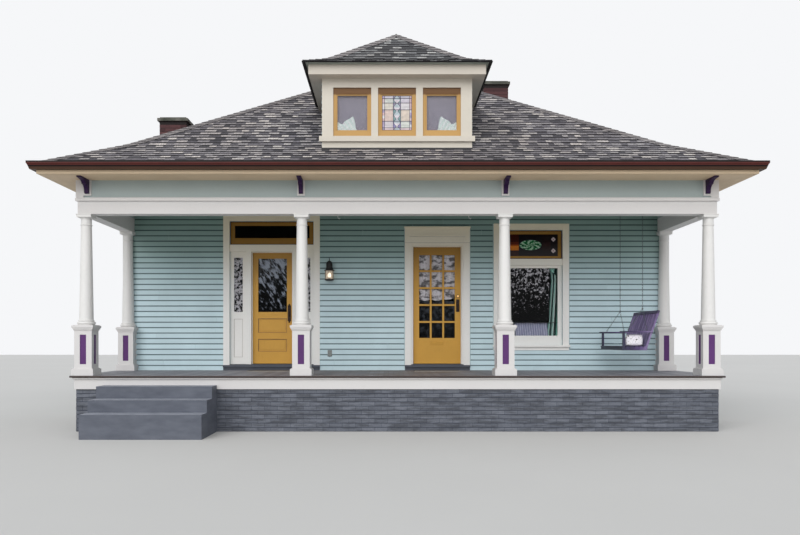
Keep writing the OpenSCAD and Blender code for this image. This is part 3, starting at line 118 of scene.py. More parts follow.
class Graph:
    """A node tree, with short ways to add to it. Values are sockets or constants."""

    def __init__(self, tree, space):
        self.tree = tree
        self.where = self.node("ShaderNodeTexCoord").outputs[space]

    def feed(self, into, value):
        if hasattr(value, "links"):
            self.tree.links.new(value, into)
        else:
            into.default_value = value

    def node(self, kind, inputs=None, **settings):
        made = self.tree.nodes.new(kind)
        for key, value in settings.items():
            setattr(made, key, value)
        for key, value in (inputs or {}).items():
            self.feed(made.inputs[key], value)
        return made

    def ramp(self, fac, stops):
        made = self.node("ShaderNodeValToRGB", {"Fac": fac})
        while len(made.color_ramp.elements) < len(stops):
            made.color_ramp.elements.new(0.5)
        for element, (at, colour) in zip(made.color_ramp.elements, stops):
            element.position = at
            element.color = rgba(colour)
        return made.outputs["Color"]

    def mix(self, fac, a, b, blend="MIX"):
        a, b = (c if hasattr(c, "links") else rgba(c) for c in (a, b))
        made = self.node("ShaderNodeMix", {0: fac, 6: a, 7: b}, data_type="RGBA", blend_type=blend)
        return made.outputs[2]

    def times(self, body, *layers):
        """A colour multiplied by each layer in turn."""
        for layer in layers:
            body = self.mix(1.0, body, layer, "MULTIPLY")
        return body

    def math(self, operation, value, *others):
        """A number joined with each of the others in turn."""
        for other in others:
            value = self.node("ShaderNodeMath", {0: value, 1: other}, operation=operation).outputs[0]
        return value

    def clamp(self, value, low, high):
        return self.math("MINIMUM", self.math("MAXIMUM", value, low), high)

    def part(self, axis, vector=None):
        """One coordinate of the shaded place, or of another vector."""
        return self.node("ShaderNodeSeparateXYZ", {0: vector or self.where}).outputs[axis]


class Look(Graph):
    """A node material whose textures run in the object's own metres."""

    levels = {"gloss": "Specular IOR Level", "alpha": "Alpha", "metallic": "Metallic",
              "sheen": "Sheen Weight", "glow": "Emission Color", "lit": "Emission Strength"}

    def __init__(self, name, roughness=0.5):
        self.material = bpy.data.materials.new(name)
        self.material.use_nodes = True
        super().__init__(self.material.node_tree, "Object")
        self.shader = self.tree.nodes["Principled BSDF"].inputs
        self.shader["Roughness"].default_value = roughness

    def scaled(self, scale):
        return self.node("ShaderNodeMapping", {"Scale": scale, "Vector": self.where}).outputs["Vector"]

    def noise(self, scale, stretch=(1, 1, 1), detail=4.0, rough=0.55):
        """Clouds; stretch is a scale along each axis, or a vector to read them at."""
        where = stretch if hasattr(stretch, "links") else self.scaled(stretch)
        made = self.node("ShaderNodeTexNoise", {"Scale": scale, "Detail": detail, "Roughness": rough,
                                                "Vector": where})
        return made.outputs["Fac"]

    def tinge(self, fac, colour, low, high, start=0.3, end=0.7):
        """One colour, from low to high times its strength."""
        return self.ramp(fac, [(start, shade(colour, low)), (end, shade(colour, high))])

    def tone(self):
        return self.node("ShaderNodeAttribute", attribute_name="tone").outputs["Fac"]

    def facing(self, axis):
        return self.part(axis, self.node("ShaderNodeNewGeometry").outputs["True Normal"])

    def threads(self, count):
        """A fine weave."""
        return self.node("ShaderNodeTexChecker", {"Scale": count, "Vector": self.where}).outputs["Fac"]

    def with_painted_shade(self, body, colour):
        """body, with the faces whose tone is below zero in a dark colour: painted shade, as under a lap, a
        butt or a cap.
        """
        return self.mix(self.math("LESS_THAN", self.tone(), -0.5), body, colour)

    def shaded_by_height(self, body, height_shade):
        """body times a colour that changes with height, a painted shade: (height, colour) stops up to 5
        metres.
        """
        if not height_shade:
            return body
        stops = [(z / 5, rgb + (1,)) for z, rgb in height_shade]
        return self.times(body, self.ramp(self.math("MULTIPLY", self.part("Z"), 0.2), stops))

    def finish(self, body, height, depth, strength=0.5, **levels):
        """The material, once it has its colour, its bump and any further levels."""
        bump = self.node("ShaderNodeBump", {"Strength": strength, "Distance": depth, "Height": height})
        self.feed(self.shader["Normal"], bump.outputs["Normal"])
        self.feed(self.shader["Base Color"], body)
        for name, value in levels.items():
            self.feed(self.shader[self.levels[name]], value)
        return self.material


def paint(name, colour, roughness, spread=0.07, dirt=0.25, dirt_colour=(96, 92, 84), run=0.35,
          gloss=0.4, height_shade=()):
    """Brushed exterior paint: broad fading, fine streaks, and a little dirt in the hollows of a noise. Where
    stops by height are given, they darken it as painted shade.
    """
    look = Look(name, roughness)
    body = look.tinge(look.noise(1.3), colour, 1 - spread, 1 + spread)
    stains = look.ramp(look.noise(9, (3, 3, run * 3), 6), [(0.55, 0), (0.8, dirt)])
    body = look.shaded_by_height(look.mix(stains, body, dirt_colour), height_shade)
    return look.finish(body, look.noise(120), 0.0008, gloss=gloss)


def boards_paint(name, colour, roughness, spread, painted_shade=(70, 90, 94), height_shade=()):
    """Paint on separate boards, each a little lighter or darker than the next. Faces of negative tone take
    the painted shade colour, and stops by height, where given, darken it as painted shade.
    """
    look = Look(name, roughness)
    body = look.tinge(look.tone(), colour, 1 - spread, 1 + spread, 0, 1)
    wash = look.ramp(look.noise(2.2, (1, 1, 0.6)), [(0.35, 0.93), (0.65, 1)])
    painted = look.shaded_by_height(look.with_painted_shade(look.times(body, wash), painted_shade), height_shade)
    return look.finish(painted, look.noise(30, (1, 1, 8), 5), 0.001)


def brick_paint(name, colours, roughness, run=0.0):
    """Bricks, one tone each, with a sandy face and level streaks in the paint; faces of negative tone, the
    row under a cap, are painted near black as shade.
    """
    look = Look(name, roughness)
    body = look.ramp(look.tone(), [(i / (len(colours) - 1), c) for i, c in enumerate(colours)])
    grit = look.ramp(look.noise(60), [(0.35, 0.82), (0.7, 1)])
    streaks = look.ramp(look.noise(8, (0.5, 0.5, 3.4), 6), [(0.4, 1 - run), (0.58, 1)])
    return look.finish(look.with_painted_shade(look.times(body, grit, streaks), (22, 12, 12)), look.noise(90), 0.002)


def shingle_look(name, stops, painted_shade=(14, 12, 16)):
    """Granule-coated shingles, one tone each, with painted shade on their butts and on the strip under the
    next course.
    """
    look = Look(name, 0.92)
    grit = look.ramp(look.noise(42, detail=5), [(0.4, 0.5), (0.56, 1.1)])
    weather = look.ramp(look.noise(0.8), [(0.35, (226, 222, 220)), (0.7, 1)])
    worn = look.times(look.ramp(look.tone(), stops), grit, weather)
    return look.finish(look.with_painted_shade(worn, painted_shade), look.noise(300, detail=2), 0.0015)


def metal(name, colour, roughness, metallic=1.0):
    """Bare or blackened metal, a little uneven."""
    look = Look(name, roughness)
    body = look.tinge(look.noise(25), colour, 0.8, 1.15)
    return look.finish(body, look.noise(200), 0.0003, metallic=metallic)


def pane_look(name, colour, roughness=0.03, alpha=1.0):
    """Old window glass, slightly wavy, its colour mottled as a faint painted reflection."""
    look = Look(name, roughness)
    body = look.tinge(look.noise(2.5), colour, 0.7, 1.3)
    return look.finish(body, look.noise(6, detail=1), 0.002, 0.3, alpha=alpha, gloss=0.12)


reflection_thinning = 0.155


def pane_with_painted_reflection(name, areas, colour, scale=14.0, start=0.42, width=0.05, lean=0.0, streak=1.0):
    """Old glass drawn near black over an unlit room, a painted shade, with a painted reflection in patches or
    in streaks that lean by some degrees.
    An area is (x0, x1, z0, z1, fade, most): it is dark, and its painted reflection thins towards z0 over the
    fade."""
    look = Look(name, 0.04)
    x, z = look.part("X"), look.part("Z")
    masks, densities, darks = [], [], []
    for x0, x1, z0, z1, fade, most in areas:
        inside = look.math("MULTIPLY", look.math("GREATER_THAN", x, x0), look.math("LESS_THAN", x, x1),
                           look.math("LESS_THAN", z, z1))
        low = look.clamp(look.math("DIVIDE", look.math("SUBTRACT", z, z0), fade), 0.0, 1.0)
        seen = look.math("MINIMUM", look.math("MULTIPLY", low, 2.5), 1.0)
        masks.append(look.math("MULTIPLY", inside, seen, most))
        densities.append(look.math("MULTIPLY", inside, low))
        darks.append(look.math("MULTIPLY", inside, look.math("GREATER_THAN", z, z0)))
    mask, dense, dark = (look.math("MAXIMUM", *each) for each in (masks, densities, darks))
    slant = look.node("ShaderNodeMapping", {"Rotation": (0, math.radians(lean), 0), "Scale": (1, 1, streak),
                                            "Vector": look.where}, vector_type="TEXTURE")
    patches = look.noise(scale, slant.outputs["Vector"], 8, 0.68)
    thinning = look.math("MULTIPLY", look.math("SUBTRACT", 1.0, dense), reflection_thinning)
    cloud = look.ramp(look.math("SUBTRACT", patches, thinning), [(start, 0), (start + width, 1)])
    painted_reflection = look.math("MULTIPLY", mask, cloud)
    # Nearly opaque, near-black glass where an area is dark: painted shade of the unlit room behind.
    opaque = look.math("MAXIMUM", look.math("MULTIPLY", dark, 0.8), 0.02)
    return look.finish(look.ramp(painted_reflection, [(0.0, (7, 8, 9)), (0.8, colour)]), look.noise(6, detail=1), 0.002,
                       0.3, alpha=look.math("MAXIMUM", painted_reflection, opaque), gloss=0.06)


def art_glass(name):
    """Coloured glass, each piece in its own tint, with a rolled surface."""
    look = Look(name, 0.18)
    tint = look.node("ShaderNodeAttribute", attribute_name="tint").outputs["Color"]
    cloudy = look.ramp(look.noise(22, detail=3), [(0.35, (0.82, 0.82, 0.84, 1)), (0.65, 1)])
    return look.finish(look.times(tint, cloudy), look.noise(45, detail=2), 0.001, 0.4, gloss=0.12)


def cloth_look(name, stops):
    """Woven cloth striped by tone, with a fine weave and a little sheen."""
    look = Look(name, 0.85)
    worn = look.ramp(look.noise(14), [(0.3, (0.86, 0.86, 0.88, 1)), (0.7, 1)])
    return look.finish(look.times(look.ramp(look.tone(), stops), worn), look.threads(700), 0.0004, sheen=0.25)


def lace_look(name, colour):
    """Lace: a net with small sprigs, see-through between its threads, its colour darkened in patches as
    painted shade of crumpled folds.
    """
    look = Look(name, 0.9)
    cells = look.node("ShaderNodeTexVoronoi", {"Scale": 55, "Vector": look.scaled((1, 0.2, 1))}, feature="F1")
    net = look.math("ADD", look.math("MULTIPLY", cells.outputs["Distance"], 0.5),
                    look.math("MULTIPLY", look.noise(16, detail=3), 0.75))
    # Dark patches: painted shade of crumpled lace.
    body = look.tinge(look.noise(8, (1, 1, 1.8)), colour, 0.2, 1, 0.42, 0.54)
    return look.finish(body, net, 0.001, alpha=look.ramp(net, [(0.40, 0.45), (0.56, 0.97)]))


def planks_look(name, colour, length, width):
    """Wooden boards drawn by a brick pattern, for floors that show only inside."""
    look = Look(name, 0.4)
    boards = look.node("ShaderNodeTexBrick", {
        "Scale": 1, "Brick Width": length, "Row Height": width, "Mortar Size": 0.0015,
        "Color1": shade(colour, 0.8), "Color2": shade(colour, 1.15), "Mortar": shade(colour, 0.2),
        "Vector": look.where}, offset=0.37)
    grain = look.ramp(look.noise(8, (1, 12, 1)), [(0.3, 0.8), (0.7, 1)])
    return look.finish(look.times(boards.outputs["Color"], grain), boards.outputs["Fac"], 0.002)


def lit(name, colour, strength, alpha=1.0):
    """Something that glows faintly by itself."""
    look = Look(name, 0.3)
    glow = look.tinge(look.noise(60, detail=2), colour, 0.8, 1)
    return look.finish(glow, look.noise(140, detail=1), 0.0006, glow=glow, lit=strength, alpha=alpha)


def deck_look():
    """Worn grey floor paint, browner where people walk between the doors."""
    look = Look("deck_paint", 0.6)
    body = look.ramp(look.tone(), [(0, (112, 112, 118)), (1, (132, 132, 138))])
    near = look.math("SUBTRACT", 1.0, look.math("MULTIPLY", look.math("ABSOLUTE", look.part("X"), 0.0), 0.3))
    trodden = look.math("MULTIPLY", look.noise(2.4, (0.5, 1, 1), 5), near)
    worn = look.ramp(trodden, [(0.18, 0), (0.5, 0.8)])
    return look.finish(look.mix(worn, body, (104, 92, 86)), look.noise(60, (3, 0.4, 1)), 0.0015)


def chimney_look():
    """Mortar of the shafts under caps of mossy concrete."""
    look = Look("chimney_mortar", 0.95)
    low, high = sorted(hi.z for _, hi in sorted(chimney_boxes, key=lambda b: b[1].x))
    right = look.math("MULTIPLY", look.math("GREATER_THAN", look.part("X"), 0.0), high - low)
    cap = look.math("GREATER_THAN", look.part("Z"), look.math("ADD", right, low - chimney_cap_h))
    moss = look.ramp(look.noise(5, detail=6), [
        (0.35, (62, 64, 56)), (0.5, (92, 92, 84)), (0.68, (122, 118, 112))])
    pointing = look.ramp(look.noise(20), [(0.3, (50, 38, 38)), (0.7, (70, 54, 52))])
    return look.finish(look.mix(cap, pointing, moss), look.noise(70), 0.002)


def dormer_roof_look():
    """Dark felt and drip edge over a pale brown-grey underside."""
    look = Look("dormer_roof_felt", 0.9)
    under = look.math("MULTIPLY",
                      look.math("LESS_THAN", look.math("ABSOLUTE", look.part("X"), 0.0), dormer.half - 0.05),
                      look.math("LESS_THAN", look.facing("Z"), -0.5))
    felt = look.ramp(look.noise(20), [(0.3, (20, 19, 21)), (0.7, (32, 31, 33))])
    boards = look.ramp(look.noise(3), [(0.3, (138, 146, 138)), (0.7, (156, 162, 154))])
    return look.finish(look.mix(under, felt, boards), look.noise(50), 0.001)


def swing_look():
    """Purple paint, worn in patches, that runs from nearly navy at the left end to pale lilac at the right
    and is darker on the top rail and at the back; dark stripes where the slats part are painted shade.
    """
    look = Look("swing_paint", 0.5)
    left, wide = 3.745, 0.663
    sweep = look.math("DIVIDE", look.math("SUBTRACT", look.part("X"), left), wide)
    body = look.ramp(sweep, [
        (0.0, (40, 42, 66)), (0.3, (52, 38, 84)), (0.5, (92, 72, 122)), (0.75, (156, 138, 178)),
        (1.0, (132, 104, 156))])
    # Dark stripes where the slats part: painted shade.
    slat_gap_shade = look.ramp(look.noise(5.5, (0.02, 1, 0.02), 2), [
        (0.42, (0.42, 0.4, 0.5, 1)), (0.5, 1), (0.58, (0.62, 0.58, 0.7, 1))])
    worn = look.ramp(look.noise(26, (1, 1, 0.3), 5), [(0.35, (0.66, 0.66, 0.7, 1)), (0.65, 1)])
    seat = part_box("swing_bench")[1]
    far = look.math("GREATER_THAN", look.part("Y"), seat.y - 0.05)
    rail = look.math("GREATER_THAN", look.part("Z"), seat.z - 0.055)
    dark = look.math("MULTIPLY", look.math("MAXIMUM", far, rail), 0.75)
    return look.finish(look.mix(dark, look.times(body, slat_gap_shade, worn), (34, 28, 52)),
                       look.noise(90, (1, 1, 0.3)), 0.001)


def ochre_look():
    """Ochre paint with painted shade: dark brown over the heads of the dormer windows and under the porch
    ceiling.
    """
    look = Look("ochre_paint", 0.42)
    stains = look.ramp(look.noise(9, (3, 3, 1), 6), [(0.55, 0), (0.8, 0.12)])
    worn = look.mix(stains, look.tinge(look.noise(1.3), (206, 156, 68), 0.94, 1.05), (120, 84, 40))
    # Painted shade under the heads of the dormer sashes, from the top of their glass up.
    high = look.math("MULTIPLY", look.math("SUBTRACT", look.part("Z"), dormer_glass_top), 30.0)
    # Painted shade on the doors and sashes under the porch ceiling, between 2.5 and 4 metres up.
    low = look.ramp(look.math("MULTIPLY", look.part("Z"), 0.2), [
        (0.5, 0), (0.66, 0.64), (0.78, 0.64), (0.8, 0)])
    ceiling_shaded = look.mix(low, worn, (96, 62, 8))
    upper = look.math("MULTIPLY", look.math("GREATER_THAN", look.part("Z"), 4.5), 0.3)
    bleached = look.mix(upper, ceiling_shaded, (158, 142, 126))
    return look.finish(look.mix(look.clamp(high, 0.0, 0.85), bleached, (92, 54, 22)), look.noise(120), 0.0008,
                       gloss=0.25)


def steps_look():
    """Grey step paint with painted light: faces that look up, the treads, are paler than the risers."""
    look = Look("step_paint", 0.6)
    # Faces that look up are the paler treads: painted light from the sky.
    top = look.math("GREATER_THAN", look.facing("Z"), 0.5)
    riser = look.ramp(look.noise(3, (1, 1, 3), 6), [(0.3, (84, 88, 98)), (0.7, (102, 106, 116))])
    lit_tread = look.ramp(look.noise(5, detail=6), [(0.3, (126, 130, 140)), (0.7, (158, 161, 170))])
    return look.finish(look.mix(top, riser, lit_tread), look.noise(70), 0.0015, gloss=0.3)


def gutter_look():
    """Maroon gutter: its lip and bead drawn as dark lines of painted shadow, with a browner foot."""
    look = Look("gutter_paint", 0.5)
    foot, lip = (corner.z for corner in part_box("gutters"))
    # Dark bands at the bead and the lip are painted shadow lines.
    shadow_bands = look.ramp(look.math("DIVIDE", look.math("SUBTRACT", look.part("Z"), foot), lip - foot), [
        (0.0, (76, 54, 40)), (0.28, (72, 48, 36)), (0.32, (8, 2, 2)), (0.44, (8, 2, 2)),
        (0.48, (84, 38, 34)), (0.8, (88, 40, 36)), (0.84, (8, 2, 2)), (1.0, (12, 4, 4))])
    worn = look.ramp(look.noise(4, detail=5), [(0.3, 0.8), (0.7, 1)])
    return look.finish(look.times(shadow_bands, worn), look.noise(120), 0.0008, gloss=0.2)


def mat_look():
    """Dark rubber mats, pale on faces that look to the front."""
    look = Look("rubber_mat", 0.9)
    rubber = look.ramp(look.noise(30, detail=5), [(0.3, (40, 38, 38)), (0.7, (62, 58, 56))])
    edge = look.math("LESS_THAN", look.facing("Y"), -0.5)
    return look.finish(look.mix(edge, rubber, (150, 144, 136)), look.noise(200), 0.002)


def pillow_look():
    """White cotton with a loose print of grey-green sprays and dark flower heads."""
    look = Look("pillow_cotton", 0.85)
    blooms = look.node("ShaderNodeTexVoronoi", {
        "Scale": 13, "Randomness": 0.85, "Vector": look.scaled((1, 0.5, 1))}, feature="F1")
    petals = look.ramp(blooms.outputs["Distance"], [
        (0.0, (28, 28, 28)), (0.14, (44, 46, 44)), (0.19, (242, 238, 242)), (0.44, (246, 242, 246)),
        (0.47, (176, 178, 174)), (0.5, (244, 240, 246))])
    sprays = look.ramp(look.noise(34, (1, 0.5, 1), 3), [(0.60, 0), (0.64, 0.8)])
    return look.finish(look.mix(sprays, petals, (104, 112, 102)), look.threads(900), 0.0003, sheen=0.2)


# Mesh pieces


def circle(count):
    """Cosine and sine of equal steps round a turn."""
    return [(math.cos(2 * math.pi * k / count), math.sin(2 * math.pi * k / count)) for k in range(count)]


def slices(a, b, count):
    """Equal parts of an interval, one after the other."""
    return [(a + (b - a) * k / count, a + (b - a) * (k + 1) / count) for k in range(count)]


def in_scene(name, data):
    made = bpy.data.objects.new(name, data)
    bpy.context.scene.collection.objects.link(made)
    return made


class Pieces:
    """Collects faces with a tone each, and turns them into one piece."""

    def __init__(self, name):
        self.name = name
        self.points, self.faces, self.tones, self.tints = [], [], [], []

    def solid(self, points, faces, tone=0.5):
        first = len(self.points)
        self.points += [tuple(p) for p in points]
        self.faces += [tuple(first + i for i in f) for f in faces]
        self.tones += tone if isinstance(tone, list) else [tone] * len(faces)

    def face(self, corners, tone, toward=None):
        """One face; where toward is given, it is turned to look that way."""
        corners = [Vector(c) for c in corners]
        if toward is not None:
            across = (corners[2] - corners[0]).cross(corners[-1] - corners[1])
            if across.dot(Vector(toward)) < 0:
                corners.reverse()
        self.solid(corners, [range(len(corners))], tone)

    def tinted(self, corners, colour, spread=0.05, fade=0.0):
        """A face of coloured glass, its tint a little off the colour and faded towards a pale grey."""
        self.face(corners, 0.5, (0, -1, 0))
        faded = [c + (208 - c) * fade for c in colour]
        self.tints.append(shade(faded, 1 + dice.uniform(-spread, spread)))

    def prism(self, foot, head, tone=0.5):
        """A closed solid between two outlines with the same number of points."""
        n = len(foot)
        sides = [(i, (i + 1) % n, n + (i + 1) % n, n + i) for i in range(n)]
        self.solid([*foot, *head], sides + [range(n)[::-1], range(n, 2 * n)], tone)

    def box(self, lo, hi, tone=0.5):
        foot, head = ([(lo[0], lo[1], z), (hi[0], lo[1], z), (hi[0], hi[1], z), (lo[0], hi[1], z)]
                      for z in (lo[2], hi[2]))
        self.prism(foot, head, tone)

    def skin(self, rings, closed=False, capped=False):
        """Faces between rings of points, each ring joined to the next."""
        n, sides = len(rings), len(rings[0])
        faces = []
        for i in range(n if closed else n - 1):
            a, b = i * sides, (i + 1) % n * sides
            faces += [(a + k, a + (k + 1) % sides, b + (k + 1) % sides, b + k) for k in range(sides)]
        if capped:
            faces += [range(sides)[::-1], range((n - 1) * sides, n * sides)]
        self.solid([p for ring in rings for p in ring], faces)

    def tube(self, path, radius, sides, closed=False):
        """A round bar along a list of points."""
        path = [Vector(p) for p in path]
        rings, side = [], None
        for i, p in enumerate(path):
            before = path[i - 1] if i or closed else p
            after = path[(i + 1) % len(path)] if i < len(path) - 1 or closed else p
            along = (after - before).normalized()
            if side is None:
                side = along.orthogonal().normalized()
            side = (side - along * side.dot(along)).normalized()
            other = along.cross(side)
            rings.append([p + radius * (c * side + s * other) for c, s in circle(sides)])
        self.skin(rings, closed, not closed)

    def lathe(self, centre, profile, sides):
        """A turned form about a vertical axis, from (radius, height) pairs."""
        x, y, foot = centre
        self.skin([[(x + r * c, y + r * s, foot + z) for c, s in circle(sides)] for r, z in profile])

    def make(self, material, slot, body="root", smooth=False, closed=False):
        mesh = bpy.data.meshes.new(self.name)
        mesh.from_pydata(self.points, [], self.faces)
        mesh.attributes.new("tone", "FLOAT", "FACE").data.foreach_set("value", self.tones)
        if self.tints:
            tints = mesh.attributes.new("tint", "FLOAT_COLOR", "FACE")
            tints.data.foreach_set("color", [c for tint in self.tints for c in tint])
        if closed:
            work = bmesh.new()
            work.from_mesh(mesh)
            bmesh.ops.recalc_face_normals(work, faces=work.faces)
            work.to_mesh(mesh)
            work.free()
        mesh.materials.append(material)
        if smooth:
            mesh.polygons.foreach_set("use_smooth", [True] * len(mesh.polygons))
        mesh.update()
        piece = in_scene(self.name, mesh)
        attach(piece, body)
        return piece


sliver = 0.004


def minus(spans, cuts):
    """Intervals left of spans once every cut interval is taken out, but for slivers."""
    for c0, c1 in cuts:
        sides = [side for a, b in spans for side in ((a, min(b, c0)), (max(a, c1), b))]
        spans = [(a, b) for a, b in sides if b > a]
    return [(a, b) for a, b in spans if b - a > sliver]


# Clapboards

clap_butt = 0.017
clap_top = 0.004
clap_h = (ceiling_z - porch_z) / 30
clap_gap = 0.0015
clap_shade = 0.021
first_board = (0.5, 3.2)
board_lengths = (2.2, 4.6)


def clapboards(name, place, z0, z1, ends, holes, material):
    """Lapped boards on a wall. place(u, out, z) is a point, ends(z) the wall's ends at a height,
    and holes are (u0, u1, z0, z1) rectangles where trim stands. The strip under each butt, and each butt's
    underside, are painted in shade."""
    work = Pieces(name)
    out_of_wall = Vector(place(0, 1, 0)) - Vector(place(0, 0, 0))
    row = 0
    while z0 + row * clap_h < z1 - 0.002:
        foot = z0 + row * clap_h
        head = min(foot + clap_h, z1)
        shaded = foot + clap_h - clap_shade
        marks = {shaded} | {e for h in holes for e in h[2:]}
        edges = sorted({foot, head} | {m for m in marks if foot < m < head})
        first, last = ends(foot)
        joints = [first + dice.uniform(*first_board)]
        while joints[-1] < last:
            joints.append(joints[-1] + dice.uniform(*board_lengths))
        tones = [dice.random() for _ in range(len(joints) + 1)]
        for za, zb in zip(edges, edges[1:]):
            middle = (za + zb) / 2
            cuts = [(h[0], h[1]) for h in holes if h[2] < middle < h[3]]
            whole = minus([(max(ends(za)[0], ends(zb)[0]), min(ends(za)[1], ends(zb)[1]))], cuts)
            oa, ob = [clap_butt + (clap_top - clap_butt) * (z - foot) / clap_h for z in (za, zb)]
            for a, b in minus(whole, [(j - clap_gap, j + clap_gap) for j in joints]):
                # Above the shaded line each board is painted in shade, tone -1; so is the underside of its
                # butt.
                tone = tones[sum(j < (a + b) / 2 for j in joints)] if middle < shaded else -1
                work.face([place(a, oa, za), place(b, oa, za), place(b, ob, zb), place(a, ob, zb)],
                          tone, out_of_wall)
                if za == foot:
                    work.face([place(a, 0, za), place(b, 0, za), place(b, oa, za), place(a, oa, za)],
                              -1, (0, 0, -1))
                for u, other in ((a, b), (b, a)):
                    aside = Vector(place(u, 0, za)) - Vector(place(other, 0, za))
                    work.face([place(u, 0, za), place(u, oa, za), place(u, ob, zb), place(u, 0, zb)],
                              tone, aside)
        row += 1
    return work.make(material, "blue_siding")


walls = {
    "front": lambda u, out, z: (u, -out, z),
    "back": lambda u, out, z: (u, house_d + out, z),
    "left": lambda u, out, z: (-half_w - out, u, z),
    "right": lambda u, out, z: (half_w + out, u, z),
}
# Faces of tone -1 take the painted shade under each butt. The porch siding is a slightly lighter copy of the
# siding blue, painted light, and its stops darken it as painted shade towards the porch ceiling.
siding_look = boards_paint("siding_paint", (190, 213, 219), 0.55, 0.04, (88, 112, 118))
porch_siding = boards_paint("porch_siding_paint", (197, 219, 225), 0.55, 0.04, (88, 112, 118), [
    (2.3, (1, 1, 1)), (2.8, (0.84, 0.88, 0.86)), (3.15, (0.58, 0.65, 0.58)), (3.7, (0.42, 0.5, 0.42))])
corner_w = 0.11


def outlines(boxes, axis):
    """Rectangles of boxes as seen on a wall that runs along an axis."""
    return [(lo[axis], hi[axis], lo.z, hi.z) for lo, hi in boxes]


clapboards("front_clapboards", walls["front"], porch_z, ceiling_z, lambda z: (-half_w, half_w),
           outlines(solids("front_casings"), 0), porch_siding)
trims = solids("plain_window_frames")
for side, frames in (("left", [b for b in trims if b[0].x < -half_w]),
                     ("right", [b for b in trims if b[1].x > half_w])):
    clapboards(side + "_clapboards", walls[side], found_top, soffit_z,
               lambda z: (corner_w, house_d - corner_w), outlines(frames, 1), siding_look)
clapboards("back_clapboards", walls["back"], found_top, soffit_z,
           lambda z: (-half_w + corner_w, half_w - corner_w),
           outlines([b for b in trims if b[1].y > house_d], 0), siding_look)


# Roof

course = 0.143


class Hip:
    """A hipped roof that flares at its eaves, by the distance d in plan from its edge."""

    def __init__(self, half, front, edge_z, flare, flare_slope, slope):
        self.half, self.front, self.edge_z, self.flare = half, front, edge_z, flare
        self.flare_slope, self.slope = flare_slope, slope
        self.flare_z = edge_z + flare * flare_slope

    def at(self, d):
        """Height at a distance."""
        if d < self.flare:
            return self.edge_z + d * self.flare_slope
        return self.flare_z + (d - self.flare) * self.slope

    def reach(self, z):
        """Distance at which the slope above the flare comes to a height."""
        return self.flare + (z - self.flare_z) / self.slope

    def step(self, d):
        """Length of one course in plan."""
        slope = self.flare_slope if d < self.flare else self.slope
        return course / math.sqrt(1 + slope * slope)


roof_lo, roof_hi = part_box("roof_front")
back_y, ridge_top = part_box("roof_back")[1][1:]
eave_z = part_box("eave_boards")[1].z
flare_run = 1.0
flare_slope = math.tan(math.radians(27.5))
main = Hip(roof_hi.x, roof_lo.y, eave_z, flare_run, flare_slope,
           (ridge_top - eave_z - flare_run * flare_slope) / (roof_hi.x - flare_run))

dormer_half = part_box("dormer_walls")[1].x - 0.045
dormer_front = -1.65
dormer_lo, dormer_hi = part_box("dormer_roof")
dormer_edge = 0.02
dormer_flare_deg, dormer_slope_deg = 24.2, 37.2
dormer = Hip(dormer_hi.x, dormer_lo.y, dormer_lo.z + dormer_edge, 0.35,
             math.tan(math.radians(dormer_flare_deg)), math.tan(math.radians(dormer_slope_deg)))


def slope_y(z):
    """Y at which the main front slope reaches a height."""
    return main.front + main.reach(z)


tab_widths = (0.09, 0.21)
first_tab = 0.3
thick_tab, thick_tone = 0.012, 0.64
thin_tab, thin_tone = 0.006, 0.32
tone_spread = 0.24
eave_tones = (0.5, 0.9)
swap_chance = 0.85
lap_rise = 0.002
lap_reach = 1.16
sunlit = 0.68 / lap_reach
eave_lip = 0.012


def shingles(name, roof, plan, limits, material, holes=lambda d0, d1: []):
    """Courses of uneven tabs. plan(u, d) is a place on the slope at distance d from its edge, limits(d)
    its two ends there, and holes(d0, d1) the intervals to leave out. The head of each course is painted in
    the shade of the next, and each tab's butt and ends are painted in shade too."""
    work = Pieces(name)

    def at(u, d, up=0.0):
        return (*plan(u, d), roof.at(d) + up)

    down, up = Vector(at(0, 0)) - Vector(at(0, 0.1)), (0, 0, 1)
    d = -eave_lip
    while d < roof.half:
        length = roof.step(d)
        d1, lap = min(d + length, roof.half), min(d + length * lap_reach, roof.half)
        low, high = limits(max(d, 0)), limits(lap)
        u = low[0] - dice.uniform(0, first_tab)
        thick = dice.random() < 0.5
        while u < low[1]:
            width = dice.uniform(*tab_widths)
            thick = not thick if dice.random() < swap_chance else thick
            rise = thick_tab if thick else thin_tab
            tone = min(max(dice.gauss(thick_tone if thick else thin_tone, tone_spread), 0), 1)
            if d < 0:
                tone = dice.uniform(*eave_tones)
            for a, b in minus([(max(u, low[0]), min(u + width, low[1]))], holes(d, d1)):
                a1, b1 = max(a, high[0]), min(b, high[1])
                if b1 <= a1:
                    a1 = b1 = min(max((a + b) / 2, high[0]), high[1])
                am, bm = a + (a1 - a) * sunlit, b + (b1 - b) * sunlit
                dm, rm = d + (lap - d) * sunlit, rise + (lap_rise - rise) * sunlit
                # Tone -1 is painted shade: the butt, the head of the tab under the next course, and the tab's
                # ends.
                work.face([at(a, d), at(b, d), at(b, d, rise), at(a, d, rise)], -1, down)
                work.face([at(a, d, rise), at(b, d, rise), at(bm, dm, rm), at(am, dm, rm)], tone, up)
                work.face([at(am, dm, rm), at(bm, dm, rm), at(b1, lap, lap_rise), at(a1, lap, lap_rise)],
                          -1, up)
                for e, e1 in ((a, a1), (b, b1)):
                    work.face([at(e, d), at(e, d, rise), at(e1, lap, lap_rise)], -1)
            u += width
        d = d1
    return work.make(material, "shingles")


